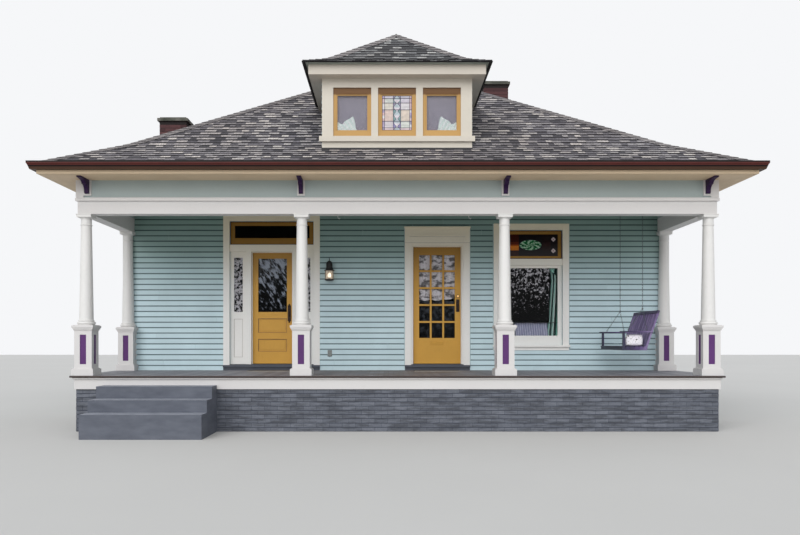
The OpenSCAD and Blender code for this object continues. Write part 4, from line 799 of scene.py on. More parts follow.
shingle = shingle_look("shingle_granules", [
    (0.0, (68, 66, 72)), (0.3, (118, 114, 120)), (0.6, (164, 159, 160)), (0.85, (200, 193, 190)),
    (1.0, (222, 214, 208))])
cap_shingle = shingle_look("cap_granules", [(0.0, (118, 114, 116)), (1.0, (170, 164, 162))], (24, 22, 26))
dormer_shingle = shingle_look("dormer_granules", [
    (0.0, (56, 57, 60)), (0.4, (104, 105, 107)), (0.7, (144, 145, 146)), (1.0, (204, 203, 200))])
stacks = [(lo.x + chimney_cap_out, hi.x - chimney_cap_out, lo.y + chimney_cap_out,
           hi.y - chimney_cap_out, hi.z) for lo, hi in chimney_boxes]


def front_holes(d0, d1):
    y0, y1 = main.front + d0, main.front + d1
    cuts = [(x0, x1) for x0, x1, near, far, _ in stacks if near < y1 and far > y0]
    if y1 > dormer_front:
        reach = max(0.0, min(dormer_half, dormer.half - dormer.reach(main.at((d0 + d1) / 2))))
        cuts.append((-reach, reach))
    return cuts


def side_holes(sign):
    def cuts(d0, d1):
        x0, x1 = sorted((sign * (main.half - d0), sign * (main.half - d1)))
        return [(near, far) for left, right, near, far, _ in stacks if left < x1 and right > x0]

    return cuts


def across(d):
    return (-main.half + d, main.half - d)


def along(d):
    return (main.front + d, back_y - d)


def dormer_limits(d):
    return (dormer.front + d, max(slope_y(dormer.at(d)), dormer.front + d))


shingles("front_shingles", main, lambda u, d: (u, main.front + d), across, shingle, front_holes)
shingles("back_shingles", main, lambda u, d: (-u, back_y - d), across, shingle)
shingles("right_shingles", main, lambda u, d: (main.half - d, u), along, shingle, side_holes(1))
shingles("left_shingles", main, lambda u, d: (-main.half + d, u), along, shingle, side_holes(-1))
shingles("dormer_front_shingles", dormer, lambda u, d: (u, dormer.front + d),
         lambda d: (-dormer.half + d, dormer.half - d), dormer_shingle)
for sign, label in ((-1, "left"), (1, "right")):
    shingles("dormer_" + label + "_shingles", dormer, lambda u, d, s=sign: (s * (dormer.half - d), u),
             dormer_limits, dormer_shingle)

cap_wing = 0.17
cap_lift = 0.024
cap_reach = 1.2
hip_per_plan = 1.5


def hip_caps(name, lines):
    """Folded caps along hips and ridges, each with its butt, outer edges and far end painted in shade. A line
    is (at, count), where at(t) gives (point, wing, wing).
    """
    work = Pieces(name)
    for at, count in lines:
        for i in range(count):
            p0, left0, right0 = at(i / count)
            p1, left1, right1 = at(min((i + cap_reach) / count, 1))
            tone = min(max(dice.gauss(0.5, 0.25), 0), 1)
            top0, top1 = p0 + Vector((0, 0, cap_lift)), p1 + Vector((0, 0, cap_lift - 0.01))
            for w0, w1 in ((left0, left1), (right0, right1)):
                a, b = p0 + w0, p1 + w1
                a_top, b_top = a + Vector((0, 0, cap_lift - 0.006)), b + Vector((0, 0, 0.008))
                work.solid([p0, a, a_top, top0, p1, b, b_top, top1],
                           [(0, 1, 2, 3), (3, 2, 6, 7), (1, 5, 6, 2), (4, 7, 6, 5)],
                           [-1, tone, -1, -1])
    return work.make(cap_shingle, "shingles")


def hip_line(roof, sx, y, sy=1):
    """The hip on side sx that starts at y and runs in the way of sy."""

    def station(t):
        d = t * roof.half
        room = min(cap_wing, roof.half - d)
        return (Vector((sx * (roof.half - d), y + sy * d, roof.at(d))), Vector((-sx * room, 0, 0)),
                Vector((0, sy * cap_wing, 0)))

    return station, int(roof.half * hip_per_plan / course)


def ridge_line(roof, start, end):
    def station(t):
        p = Vector((0, start + (end - start) * t, roof.at(roof.half)))
        return p, Vector((1, 0, -roof.slope)) * cap_wing, Vector((-1, 0, -roof.slope)) * cap_wing

    return station, int(abs(end - start) / course)


hip_caps("roof_ridge_caps", [
    *(hip_line(main, sx, y, sy) for sx in (-1, 1) for y, sy in ((main.front, 1), (back_y, -1))),
    ridge_line(main, main.front + main.half, back_y - main.half)])
hip_caps("dormer_ridge_caps", [
    *(hip_line(dormer, sx, dormer.front) for sx in (-1, 1)),
    ridge_line(dormer, dormer.front + dormer.half, slope_y(dormer.at(dormer.half)) - 0.02)])

cheek_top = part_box("dormer_eaves")[0].z
for sign, label in ((-1, "left"), (1, "right")):
    clapboards("dormer_" + label + "_clapboards",
               lambda u, out, z, s=sign: (s * (dormer_half + out), u, z),
               main.at(dormer_front + corner_w - main.front), cheek_top,
               lambda z: (dormer_front + corner_w, slope_y(z)), [], siding_look)


# Brickwork

brick_l = 0.203
brick_h = 0.057
mortar = 0.01
end_joint = 0.004
brick_out = 0.004
brick_uneven = 0.0015
least_brick = 0.02
stack_sunk = 0.1


def bricks(work, place, u0, u1, z0, z1, capped=False):
    """Running bond on a wall between two heights, each brick a little out of line. Under a cap the
    top row is painted in shade."""
    rows = int((z1 - z0) / (brick_h + mortar))
    for row, (foot, head) in enumerate(slices(z0, z1, rows)):
        foot, head = foot + mortar / 2, head - mortar / 2
        u = u0 - (brick_l + end_joint) / 2 * (row % 2)
        while u < u1:
            a, b = max(u, u0), min(u + brick_l, u1)
            if b - a > least_brick:
                stand = brick_out + dice.uniform(-brick_uneven, brick_uneven)
                wall, face = ([place(a, out, foot), place(b, out, foot), place(b, out, head),
                               place(a, out, head)] for out in (0, stand))
                # Tone -1: the top row under a cap, in painted shade.
                work.prism(wall, face, -1 if capped and row == rows - 1 else dice.random())
            u += brick_l + end_joint


base_work = Pieces("foundation_bricks")
base_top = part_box("skirt_boards")[0].z
bricks(base_work, lambda u, o, z: (u, porch_front - o, z), -half_w, half_w, 0, base_top)
bricks(base_work, walls["back"], -half_w, half_w, 0, base_top)
for side in ("left", "right"):
    bricks(base_work, walls[side], porch_front, house_d, 0, base_top)
base_work.make(brick_paint("painted_brick", [(94, 98, 108), (102, 106, 116), (112, 116, 126)], 0.7, 0.45),
               "painted_brick", closed=True)

stack_work = Pieces("chimney_bricks")
for x0, x1, y0, y1, top in stacks:
    foot = min(main.at(min(y0 - main.front, main.half - abs(x))) for x in (x0, x1)) - stack_sunk
    for place, u0, u1 in ((lambda u, o, z: (u, y0 - o, z), x0, x1), (lambda u, o, z: (u, y1 + o, z), x0, x1),
                          (lambda u, o, z: (x0 - o, u, z), y0, y1), (lambda u, o, z: (x1 + o, u, z), y0, y1)):
        bricks(stack_work, place, u0, u1, foot, top - chimney_cap_h, True)
stack_work.make(brick_paint("chimney_brick", [(60, 34, 36), (76, 44, 46), (94, 58, 58)], 0.85),
                "chimney_brick", closed=True)


# Boards of the porch floor, its ceiling and the soffits

deck_w = 0.083
bead_w = 0.085
soffit_w = 0.09
board_gap = 0.004
deck_gap = 0.003
deck_rise = 0.0025
bead_drop = 0.004
soffit_drop = 0.003

deck = Pieces("porch_floor_boards")
x = floor_lo.x + 0.002
while x < floor_hi.x - 0.01:
    right = min(x + deck_w - deck_gap, floor_hi.x - 0.002)
    deck.box((x, floor_lo.y + 0.012, floor_hi.z), (right, 0, floor_hi.z + deck_rise), dice.random())
    x += deck_w
deck.make(deck_look(), "grey_floor", closed=True)

bead = Pieces("porch_ceiling_boards")
y = ceiling_lo.y
while y < -0.01:
    far = min(y + bead_w - board_gap, 0)
    bead.box((ceiling_lo.x, y, ceiling_z - bead_drop), (ceiling_hi.x, far, ceiling_z), dice.random())
    y += bead_w
# The ceiling boards are a darker grey than the cream ceiling and soffits: painted shade under the porch roof.
bead.make(boards_paint("ceiling_paint", (166, 168, 158), 0.5, 0.03), "cream_boards", closed=True)

soffit = Pieces("soffit_boards")
eave_run = main.half - half_w
out = 0.0
while out < eave_run - 0.02:
    far = min(out + soffit_w - board_gap, eave_run)
    edges = [[(sx * (half_w + out), beam_front - out), (sx * (half_w + far), beam_front - far),
              (sx * (half_w + far), house_d + far), (sx * (half_w + out), house_d + out)] for sx in (-1, 1)]
    edges += [[(-half_w - out, y + sy * out), (half_w + out, y + sy * out),
               (half_w + far, y + sy * far), (-half_w - far, y + sy * far)]
              for y, sy in ((beam_front, -1), (house_d, 1))]
    for ends in edges:
        foot, head = ([(a, b, z) for a, b in ends] for z in (soffit_z - soffit_drop, soffit_z))
        soffit.prism(foot, head, dice.random())
    out += soffit_w
soffit.make(boards_paint("soffit_paint", (216, 192, 160), 0.55, 0.03), "cream_boards", closed=True)


# Finishes of the CAD nodes

bronze = metal("dark_bronze", (44, 31, 25), 0.45, 0.7)
finishes = [
    # The trim white darkens and warms towards the porch ceiling: painted shade.
    (paint("white_trim_paint", (234, 232, 228), 0.45, 0.015, 0.06, run=1, height_shade=[
        (2.5, (1, 1, 1)), (3.1, (1, 0.96, 0.86)), (3.6, (1, 0.92, 0.72))]),
     "front_casings door_frames sidelights front_window_sash plain_window_frames"),
    (paint("outer_trim_paint", (212, 209, 207), 0.5, 0.015, 0.06, run=1),
     "skirt_boards corner_boards porch_beams bracket_boards pedestals"),
    (paint("column_paint", (225, 223, 220), 0.45, 0.015, 0.05, run=1), "columns"),
    # The dormer's whites are darker, warmer copies of the trim white: painted shade under the dormer roof.
    (paint("dormer_trim_paint", (212, 204, 190), 0.5, 0.02, 0.06, run=1), "dormer_walls"),
    (paint("dormer_eave_paint", (202, 193, 180), 0.5, 0.02, 0.06, run=1), "dormer_eaves"),
    (paint("blue_paint", (180, 204, 210), 0.55, 0.03, 0.08, run=1),
     "front_wall_left front_wall_middle front_wall_right front_wall_headers left_wall right_wall back_wall"),
    (paint("frieze_paint", (164, 176, 175), 0.55, 0.03, 0.1, run=1), "frieze"),
    (paint("purple_paint", (90, 52, 106), 0.5, 0.1, 0.2, (48, 28, 62), gloss=0.2), "pedestal_panels"),
    (paint("bracket_paint", (42, 16, 58), 0.5, 0.06, 0.1, (24, 12, 34), gloss=0.2), "eave_brackets"),
    (paint("cream_paint", (216, 192, 160), 0.55, 0.03, 0.1),
     "porch_ceiling eave_boards swing_pillow window_curtain"),
    (paint("base_paint", (54, 59, 72), 0.75, 0.08, 0.2, gloss=0.2),
     "foundation_sides foundation_ends porch_foundation"),
    # The porch floor node shows only its nose, painted dark brown as shade under the deck's edge, with dirt.
    (paint("floor_paint", (64, 52, 48), 0.6, 0.2, 0.5, (36, 28, 26), run=1), "porch_floor"),
    (paint("sill_paint", (72, 76, 86), 0.55, 0.1, 0.25, (60, 50, 44)), "door_sills"),
    (paint("roof_felt", (52, 51, 54), 0.95, 0.1, 0.1), "roof_front roof_left roof_right roof_back"),
    # Plain window glass is opaque and near black: painted shade of the unlit rooms behind it.
    (pane_look("window_glass", (16, 20, 24)), "plain_window_glass"),
    # Front glass: near black as painted shade of the dark rooms, with painted reflections.
    (pane_with_painted_reflection("front_window_glass", [
        (-5, -1, 1.6, 3.1, 0.3, 0.9), (-5, -1, 3.1, 4, 1, 0), (2, 2.9, 1.8, 3.0, 1.2, 1.0)],
        (186, 184, 190), scale=24.0, start=0.475), "front_glass"),
    (pane_with_painted_reflection("entry_door_pane", [(-5, -1, 1.6, 3.2, 1.3, 0.95)], (150, 158, 172), scale=17.0, start=0.45,
               width=0.1, lean=-35.0, streak=2.6), "entry_door_glass"),
    (pane_with_painted_reflection("door_lite_glass", [(0, 2, 1.2, 2.2, 1.5, 0.35)], (90, 96, 104)), "second_door_glass"),
    (pane_look("dormer_glass_film", (130, 128, 138), 0.08, 0.12), "dormer_glass"),
    (bronze, "entry_door_hardware second_door_hardware wall_lantern door_hinges"),
    (metal("chain_steel", (96, 98, 102), 0.4), "swing_hooks swing_chains"),
    (planks_look("oak_boards", (168, 120, 72), 1.1, 0.07), "house_floor"),
    (paint("attic_boards", (190, 176, 150), 0.8, 0.08, 0.1), "attic_floor"),
    (ochre_look(), "transom_sashes entry_door second_door dormer_sashes"),
    (steps_look(), "entry_steps"), (gutter_look(), "gutters"), (dormer_roof_look(), "dormer_roof"),
    (chimney_look(), "chimneys"), (swing_look(), "swing_bench"), (mat_look(), "doormats"),
]
for material, names in finishes:
    for name in names.split():
        nodes[name].data.materials.clear()
        nodes[name].data.materials.append(material)


# Cloth, glass art and fittings


def cloth(name, across, up, at, material, body="root", tone=lambda u, v: 0.5):
    """A sheet of cloth of across by up cells, where at(u, v) gives its points from the left foot to the
    right head."""
    rows = [[Vector(at(k / across, j / up)) for k in range(across + 1)] for j in range(up + 1)]
    width = max(sum((b - a).length for a, b in zip(row, row[1:])) for row in rows)
    length = max(sum((b[k] - a[k]).length for a, b in zip(rows, rows[1:])) for k in range(across + 1))
    work = Pieces(name)
    faces, tones, area = [], [], 0
    for j in range(up):
        for k in range(across):
            first = j * (across + 1) + k
            faces.append((first, first + 1, first + across + 2, first + across + 1))
            tones.append(tone((k + 0.5) / across, (j + 0.5) / up))
            a, b, c, d = rows[j][k], rows[j][k + 1], rows[j + 1][k + 1], rows[j + 1][k]
            area += (c - a).cross(d - b).length / 2
    work.solid([p for row in rows for p in row], faces, tones)
    piece = work.make(material, "curtain", body, smooth=True)
    min(area, width * length)
    return piece


def rail(name, x0, x1, y, z, radii, sides, wall_y, material, body="root"):
    """A curtain rod from x0 to x1, with a post to the wall near each end."""
    work = Pieces(name)
    work.tube([(x0, y, z), (x1, y, z)], radii[0], sides)
    for x in (x0 + 0.01, x1 - 0.01):
        work.tube([(x, wall_y, z), (x, y, z)], radii[1], sides - 2)
    return work.make(material, "bronze", body, smooth=True)


def blend_at(stops, at):
    """Value at a place on a list of (place, value) stops."""
    for (a, va), (b, vb) in zip(stops, stops[1:]):
        if at <= b:
            return va + (vb - va) * max(at - a, 0) / (b - a)
    return stops[-1][1]


# Curtain of the front window, drawn to the right and pinched under its swag

window_lo, window_hi = max(solids("front_glass"), key=lambda b: (b[1].x, -b[0].z))
curtain_lo, curtain_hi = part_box("window_curtain")
rod_y, rod_z = curtain_hi.y - 0.03, curtain_hi.z - 0.03
rod_bar = rail("curtain_rod", curtain_lo.x, curtain_hi.x, rod_y, rod_z, (0.01, 0.008), 12, curtain_lo.y,
               metal("rod_metal", (60, 52, 46), 0.4))
curtain_cloth = cloth_look("curtain_cloth", [
    (0.0, (0, 30, 28)), (0.3, (14, 92, 82)), (0.5, (60, 168, 150)), (0.75, (176, 248, 230)),
    (1.0, (240, 255, 250))])
curtain_edge = [(1.15, 2.86), (1.55, 2.875), (2.1, 2.925), (2.6, 2.965), (2.72, 2.95), (2.9, 2.89),
                (3.62, 2.86)]
stripe_tones = [0.1, 0.8, 0.95, 0.1, 0.05, 0.85, 0.98, 0.1, 0.05, 0.65, 0.8, 0.1, 0.35, 0.4, 0.1, 0.35]


def curtain_at(u, v):
    z = curtain_lo.z + (rod_z - curtain_lo.z) * v
    left, right = blend_at(curtain_edge, z), curtain_hi.x - 0.04
    pinch = 1 - 0.55 * math.exp(-((z - 2.62) / 0.22) ** 2)
    fold = math.sin(u * math.pi * 14 + 0.5 * math.sin(z * 1.7)) + 0.3 * math.sin(u * 57 + z * 2.3)
    return (left + (right - left) * u, rod_y + 0.021 * pinch * fold, z)


def swag_at(u, v):
    foot = 2.60 + 0.26 * (1 - u) ** 1.3
    wave = math.sin((u + v * 0.8) * 21) * 0.008
    return (2.885 + 0.29 * u, rod_y - 0.038 + wave, foot + (2.99 - foot) * v)


drape = cloth("striped_curtain", 96, 60, curtain_at, curtain_cloth,
              tone=lambda u, v: stripe_tones[int(u * 16) % 16])
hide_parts("window_curtain")
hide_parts("window_curtain")
cloth("curtain_swag", 40, 24, swag_at, curtain_cloth,
      tone=lambda u, v: 0.04 if u > 0.42 + 0.2 * v else (0.85 if (u + v) * 9 % 2 < 1 else 0.62))

half_foot, half_rod_z, half_y = 1.40, 1.792, 0.166
half_left, half_right = 2.275, 2.89
half_folds = 86.8
rail("half_curtain_rod", window_lo.x - 0.1, window_hi.x + 0.1, half_y, half_rod_z, (0.005, 0.005), 10, 0.15,
     metal("half_rod_metal", (120, 112, 104), 0.4))
cloth("half_curtain", 140, 14, lambda u, v: (
    half_left + 0.01 * math.sin(v * 5) + (half_right - half_left) * u,
    half_y + 0.009 * math.sin(u * half_folds) * (1 - 0.2 * v), half_foot + (half_rod_z - half_foot) * v),
    cloth_look("half_curtain_cloth", [
        (0.0, (140, 143, 168)), (0.5, (160, 163, 186)), (1.0, (180, 182, 202))]),
    tone=lambda u, v: 0.5 + 0.5 * math.sin(u * half_folds))


# Lace behind the glass of the second door

leaf_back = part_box("second_door")[1].y
lites = sorted(solids("second_door_glass"), key=lambda b: (b[0].x, b[0].z))
lace_x0, lace_x1 = lites[0][0].x - 0.014, lites[-1][1].x + 0.014
lace_top = max(b[1].z for b in lites) + 0.016
lace_y = leaf_back + 0.012
rail("lace_rod", lace_x0 - 0.02, lace_x1 + 0.02, lace_y, lace_top, (0.004, 0.004), 10, leaf_back - 0.002,
     metal("lace_rod_brass", (150, 120, 70), 0.35), "second_door")
lace_cloth = lace_look("white_lace", (226, 223, 230))


def lace_at(u, v):
    foot = 2.238 - 0.03 * abs(math.sin(u * 3 * math.pi)) + 0.045 * max(u - 0.68, 0) / 0.32
    fold = 0.006 * math.sin(u * 60 + 2 * math.sin(v * 4)) + 0.004 * math.sin(u * 23 + v * 9)
    return (lace_x0 + (lace_x1 - lace_x0) * u, lace_y + fold * (1 - 0.5 * v), foot + (lace_top - foot) * v)


def lace_swag_at(u, v):
    drop = 0.20 + 0.10 * abs(math.cos(u * 1.5 * math.pi)) ** 0.8
    return (lace_x0 + (lace_x1 - lace_x0) * u, lace_y + 0.014 + 0.006 * math.sin(v * 26 + u * 9),
            lace_top - drop * (1 - v))


cloth("door_lace", 144, 40, lace_at, lace_cloth, body="second_door")
cloth("lace_swag", 96, 20, lace_swag_at, lace_cloth, body="second_door")


# Dormer windows: a blind and a heap of cloth behind the plain panes, leaded glass in the middle

dormer_panes = sorted(solids("dormer_glass"), key=lambda b: b[0].x)
sash_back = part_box("dormer_sashes")[1].y
blind_cloth = cloth_look("blind_cloth", [(0.0, (150, 145, 158)), (1.0, (164, 160, 170))])
heap_cloth = cloth_look("pale_green_cloth", [(0.0, (226, 246, 238)), (1.0, (250, 255, 253))])
heap_line = [(0.0, 0.118), (0.02, 0.142), (0.06, 0.118), (0.09, 0.104), (0.142, 0.165), (0.217, 0.203),
             (0.255, 0.232), (0.27, 0.238), (0.286, 0.205), (0.302, 0.15), (0.322, 0.02)]
heap_w = 0.334
for (lo, hi), sign, label in ((dormer_panes[0], 1, "left"), (dormer_panes[2], -1, "right")):
    cloth("dormer_" + label + "_blind", 12, 12, lambda u, v: (
        lo.x - 0.04 + (hi.x - lo.x + 0.08) * u, sash_back + 0.012 + 0.001 * math.sin(12 * u + 12 * v),
        lo.z - 0.06 + (hi.z - lo.z + 0.12) * v), blind_cloth,
        tone=lambda u, v: v)
    start = lo.x - 0.012 if sign > 0 else hi.x + 0.012
    cloth("dormer_" + label + "_cloth", 48, 18, lambda u, v: (
        start + sign * heap_w * u,
        sash_back - 0.0065 + 0.0035 * math.sin(u * 43.2 + v * 7) + 0.0025 * math.sin(u * 16.8 - v * 15),
        lo.z - 0.016 + (blend_at(heap_line, heap_w * u) + 0.016) * v), heap_cloth,
        tone=lambda u, v: 0.5 + 0.5 * math.sin(u * 31 + v * 11))


def cames(work, line, half, y, proud):
    """Lead strips along a line of (x, z) points, standing a little in front of the glass."""
    for (x0, z0), (x1, z1) in zip(line, line[1:]):
        a, b = Vector((x0, y, z0)), Vector((x1, y, z1))
        along = (b - a).normalized()
        side = Vector((-along.z, 0, along.x)) * half
        a, b = a - along * half * 0.6, b + along * half * 0.6
        foot = [a - side, b - side, b + side, a + side]
        work.prism(foot, [p - Vector((0, proud, 0)) for p in foot])


lead = metal("lead_came", (62, 56, 74), 0.55, 0.6)
leaded = art_glass("leaded_glass")
glass_lift = 0.0012


def dormer_art():
    """A leaded panel: side columns of pale panes, a wavy stem between them and a narrow border."""
    lo, hi = dormer_panes[1]
    y = lo.y - glass_lift
    wide, tall = hi.x - lo.x, hi.z - lo.z
    rows = [0, 0.084, 0.213, 0.409, 0.738, 0.929, 1]
    columns = [0, 0.083, 0.373, 0.623, 0.923, 1]
    left = [(206, 200, 216), (214, 218, 206), (220, 210, 190), (228, 192, 176), (226, 212, 216),
            (240, 208, 208)]
    right = [(200, 194, 212), (220, 208, 224), (222, 214, 216), (226, 202, 178), (216, 222, 208),
             (240, 208, 208)]
    deep = [(150, 144, 170), (150, 172, 176), (150, 140, 168), (112, 150, 150), (138, 130, 184),
            (206, 186, 200)]
    border = [(160, 138, 186), (232, 196, 202), (238, 234, 236), (148, 140, 172), (226, 178, 184)]
    work = Pieces("dormer_leaded_glass")

    def at(u, v):
        return (lo.x + wide * u, hi.z - tall * v)

    def pane(u0, u1, v0, v1, colour, spread, fade):
        corners = [at(u0, v1), at(u1, v1), at(u1, v0), at(u0, v0)]
        work.tinted([(x, y, z) for x, z in corners], colour, spread, fade)

    def stem(v):
        return 0.36 * abs(math.sin(v * math.pi * 4.5)) + 0.06

    for i, (v0, v1) in enumerate(zip(rows, rows[1:])):
        for u0, u1, colour in ((*columns[1:3], left[i]), (*columns[3:5], right[i])):
            for a, b in slices(v0, v1, max(1, round((v1 - v0) / 0.05))):
                pane(u0, u1, a, b, colour, 0.07, 0.4)
        for u0, u1 in (columns[0:2], columns[4:6]):
            for a, b in slices(v0, v1, max(1, round((v1 - v0) / 0.09))):
                pane(u0, u1, a, b, dice.choice(border), 0.1, 0.4)
    steps, cells = 44, 10
    u0, u1 = columns[2:4]
    for j, (a, b) in enumerate(slices(0, 1, steps)):
        band = deep[max(i for i, v in enumerate(rows[:-1]) if v <= (a + b) / 2)]
        for k, (ua, ub) in enumerate(slices(u0, u1, cells)):
            pale = abs((k + 0.5) / cells - 0.5) < stem((a + b) / 2)
            colour = (232, 222, 228) if pale and (j // 5) % 2 else (186, 200, 206) if pale else band
            pane(ua, ub, a, b, colour, 0.1, 0.2)
    work.make(leaded, "window_glass")

    bars = Pieces("dormer_lead")
    for u in columns[1:-1]:
        cames(bars, [(at(u, 0)[0], lo.z), (at(u, 0)[0], hi.z)], 0.0035, y, 0.003)
    for v in rows[1:-1]:
        cames(bars, [(lo.x, at(0, v)[1]), (hi.x, at(0, v)[1])], 0.004, y, 0.003)
    for side in (-1, 1):
        line = [at(u0 + (u1 - u0) * (0.5 + side * min(stem(j / steps), 0.48)), j / steps)
                for j in range(steps + 1)]
        cames(bars, line, 0.0028, y, 0.003)
    x0, x1, z0, z1 = lo.x + 0.004, hi.x - 0.004, lo.z + 0.004, hi.z - 0.004
    cames(bars, [(x0, z0), (x1, z0), (x1, z1), (x0, z1), (x0, z0)], 0.004, y, 0.0035)
    bars.make(lead, "bronze", closed=True)


def transom_art():
    """A dark transom with an oval of green leaves, amber panels and a pale diamond in each corner. The amber
    panels left of the oval are painted bright with light shining through, those right of it dark in painted
    shade.
    """
    lo, hi = max(solids("front_glass"), key=lambda b: b[1].z + (10 if b[0].x > 0 else 0))
    y = lo.y - glass_lift
    middle = (lo.x + hi.x) / 2
    centre_z = (lo.z + hi.z) / 2 + 0.003
    work, bars = Pieces("transom_art_glass"), Pieces("transom_lead")
    half_x, half_z = 0.209, 0.098

    def pane(x0, x1, z0, z1, colour, spread=0.05):
        work.tinted([(x0, y, z0), (x1, y, z0), (x1, y, z1), (x0, y, z1)], colour, spread)

    oval_x0, oval_x1 = middle - half_x - 0.012, middle + half_x + 0.012
    amber_x0, amber_x1 = lo.x + 0.135, hi.x - 0.135
    ends = [hi.z, centre_z + 0.06, centre_z + 0.012, centre_z - 0.012, centre_z - 0.1, lo.z]
    # Amber panels: painted light through those left of the oval, painted shade on those right of it.
    amber_lit_through = [(58, 18, 10), (96, 34, 10), (150, 66, 12), (214, 122, 28), (50, 18, 12)]
    amber_in_shade = [(26, 12, 12), (34, 14, 14), (40, 16, 14), (34, 14, 12), (22, 12, 12)]
    for z1, z0, glow, shaded_amber in zip(ends, ends[1:], amber_lit_through, amber_in_shade):
        pane(amber_x0, oval_x0, z0, z1, glow, 0.12)
        pane(oval_x1, amber_x1, z0, z1, shaded_amber, 0.12)
        pane(lo.x, amber_x0, z0, z1, (22, 12, 14))
        pane(amber_x1, hi.x, z0, z1, (20, 12, 14))
        pane(oval_x0, oval_x1, z0, z1, (20, 13, 15))
    y -= 0.0006
    turns, rings = 36, 5
    for a0, a1 in slices(0, 2 * math.pi, turns):
        i = round(a0 * turns / (2 * math.pi))
        for k, (r0, r1) in enumerate(slices(0, 1, rings)):
            corners = [(middle + half_x * r * math.cos(a), y, centre_z + half_z * r * math.sin(a))
                       for r, a in ((r0, a0), (r0, a1), (r1, a1), (r1, a0))]
            leaf = math.sin(a0 * 6 + k * 1.4)
            colour = (176, 214, 182) if leaf > 0.55 or k == rings - 1 and i % 3 == 0 else \
                (70, 150, 96) if leaf > 0 else (16, 96, 52)
            work.tinted(corners, colour, 0.15)
    oval = [(middle + half_x * c, centre_z + half_z * s) for c, s in circle(turns)]
    cames(bars, [*oval, oval[0]], 0.003, y, 0.0025)
    for sx in (-1, 1):
        for dz in (-0.108, 0.108):
            x, z = middle + sx * 0.432, centre_z + dz
            for r, colour in ((0.046, (222, 206, 204)), (0.016, (136, 104, 104))):
                y -= 0.0003
                work.tinted([(x - r, y, z), (x, y, z - r), (x + r, y, z), (x, y, z + r)], colour)
            cames(bars, [(x - 0.047, z), (x, z - 0.047), (x + 0.047, z), (x, z + 0.047), (x - 0.047, z)],
                  0.0015, y, 0.002)
    work.make(leaded, "window_glass")
    bars.make(lead, "bronze", closed=True)


dormer_art()
transom_art()


# Wall lantern

lantern_lo, lantern_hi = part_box("wall_lantern")
lantern_x = (lantern_lo.x + lantern_hi.x) / 2
lantern_y = lantern_lo.y + 0.098
lantern_foot = (lantern_x, lantern_y, lantern_lo.z)
post_count = 6
post_ring = 0.083
arm_h = 0.27
cage = Pieces("lantern_frame")
cage.lathe(lantern_foot, [
    (0.0005, 0.43), (0.005, 0.426), (0.008, 0.4), (0.008, 0.376), (0.03, 0.368), (0.052, 0.344),
    (0.059, 0.315), (0.059, 0.236), (0.066, 0.232), (0.068, 0.214), (0.096, 0.198), (0.096, 0.19),
    (0.086, 0.188), (0.0005, 0.188)], 32)
cage.lathe(lantern_foot, [
    (0.0005, 0.0), (0.066, 0.004), (0.086, 0.012), (0.086, 0.028), (0.072, 0.03), (0.0005, 0.03)], 32)
for k in range(post_count):
    angle = 2 * math.pi * (k + 0.5) / post_count
    x, y = lantern_x + post_ring * math.cos(angle), lantern_y + post_ring * math.sin(angle)
    cage.tube([(x, y, lantern_lo.z + 0.025), (x, y, lantern_lo.z + 0.19)], 0.0045, 6)
arm_z = lantern_lo.z + arm_h
for path, radius, sides in (([(0, 0), (-0.012, 0)], 0.055, 24),
                            ([(-0.012, 0), (-0.04, 0.006), (-0.075, 0)], 0.011, 12)):
    cage.tube([(lantern_x, y, arm_z + up) for y, up in path], radius, sides)
cage.tube([(lantern_x, lantern_y, lantern_lo.z + up) for up in (0.03, 0.062)], 0.014, 12)
lantern_frame = cage.make(metal("lantern_iron", (15, 14, 14), 0.55, 0.3), "lantern")
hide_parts("wall_lantern")

panes = Pieces("lantern_panes")
panes.lathe(lantern_foot, [(0.078, 0.03), (0.078, 0.188)], 32)
panes.make(lit("seeded_glass", (214, 196, 176), 0.2, 0.5), "lantern", smooth=True)
bulb = Pieces("lantern_bulb")
bulb.lathe(lantern_foot, [
    (0.0005, 0.06), (0.014, 0.062), (0.026, 0.08), (0.031, 0.1), (0.026, 0.124), (0.012, 0.148),
    (0.0005, 0.158)], 20)
bulb.make(lit("lit_bulb", (255, 236, 204), 3.5), "lantern", smooth=True)


# Chain of the swing

link_pitch = 0.026
link_wire = 0.0021
link_turn = 0.0085
spread_h = 0.375


def chain_links(work, start, end):
    """Welded links along a straight run, each turned a quarter from the last."""
    start, end = Vector(start), Vector(end)
    count = max(1, round((end - start).length / link_pitch))
    along = (end - start).normalized()
    side = Vector((0, 1, 0)).cross(along).normalized()
    other = along.cross(side)
    pitch = (end - start).length / count
    straight = pitch / 2 + link_wire - link_turn
    for i in range(count):
        across = side if i % 2 else other
        centre = start + along * pitch * (i + 0.5)
        half = [along * (straight + link_turn * math.sin(turn)) + across * link_turn * math.cos(turn)
                for turn in (math.pi * k / 4 for k in range(5))]
        work.tube([centre + p for p in half] + [centre - p for p in half], link_wire, 6, closed=True)


def eye(work, x, y, z, radius, wire, count):
    """A ring in the swing's plane."""
    work.tube([(x + radius * c, y, z + radius * s) for c, s in circle(count)], wire, 6, closed=True)


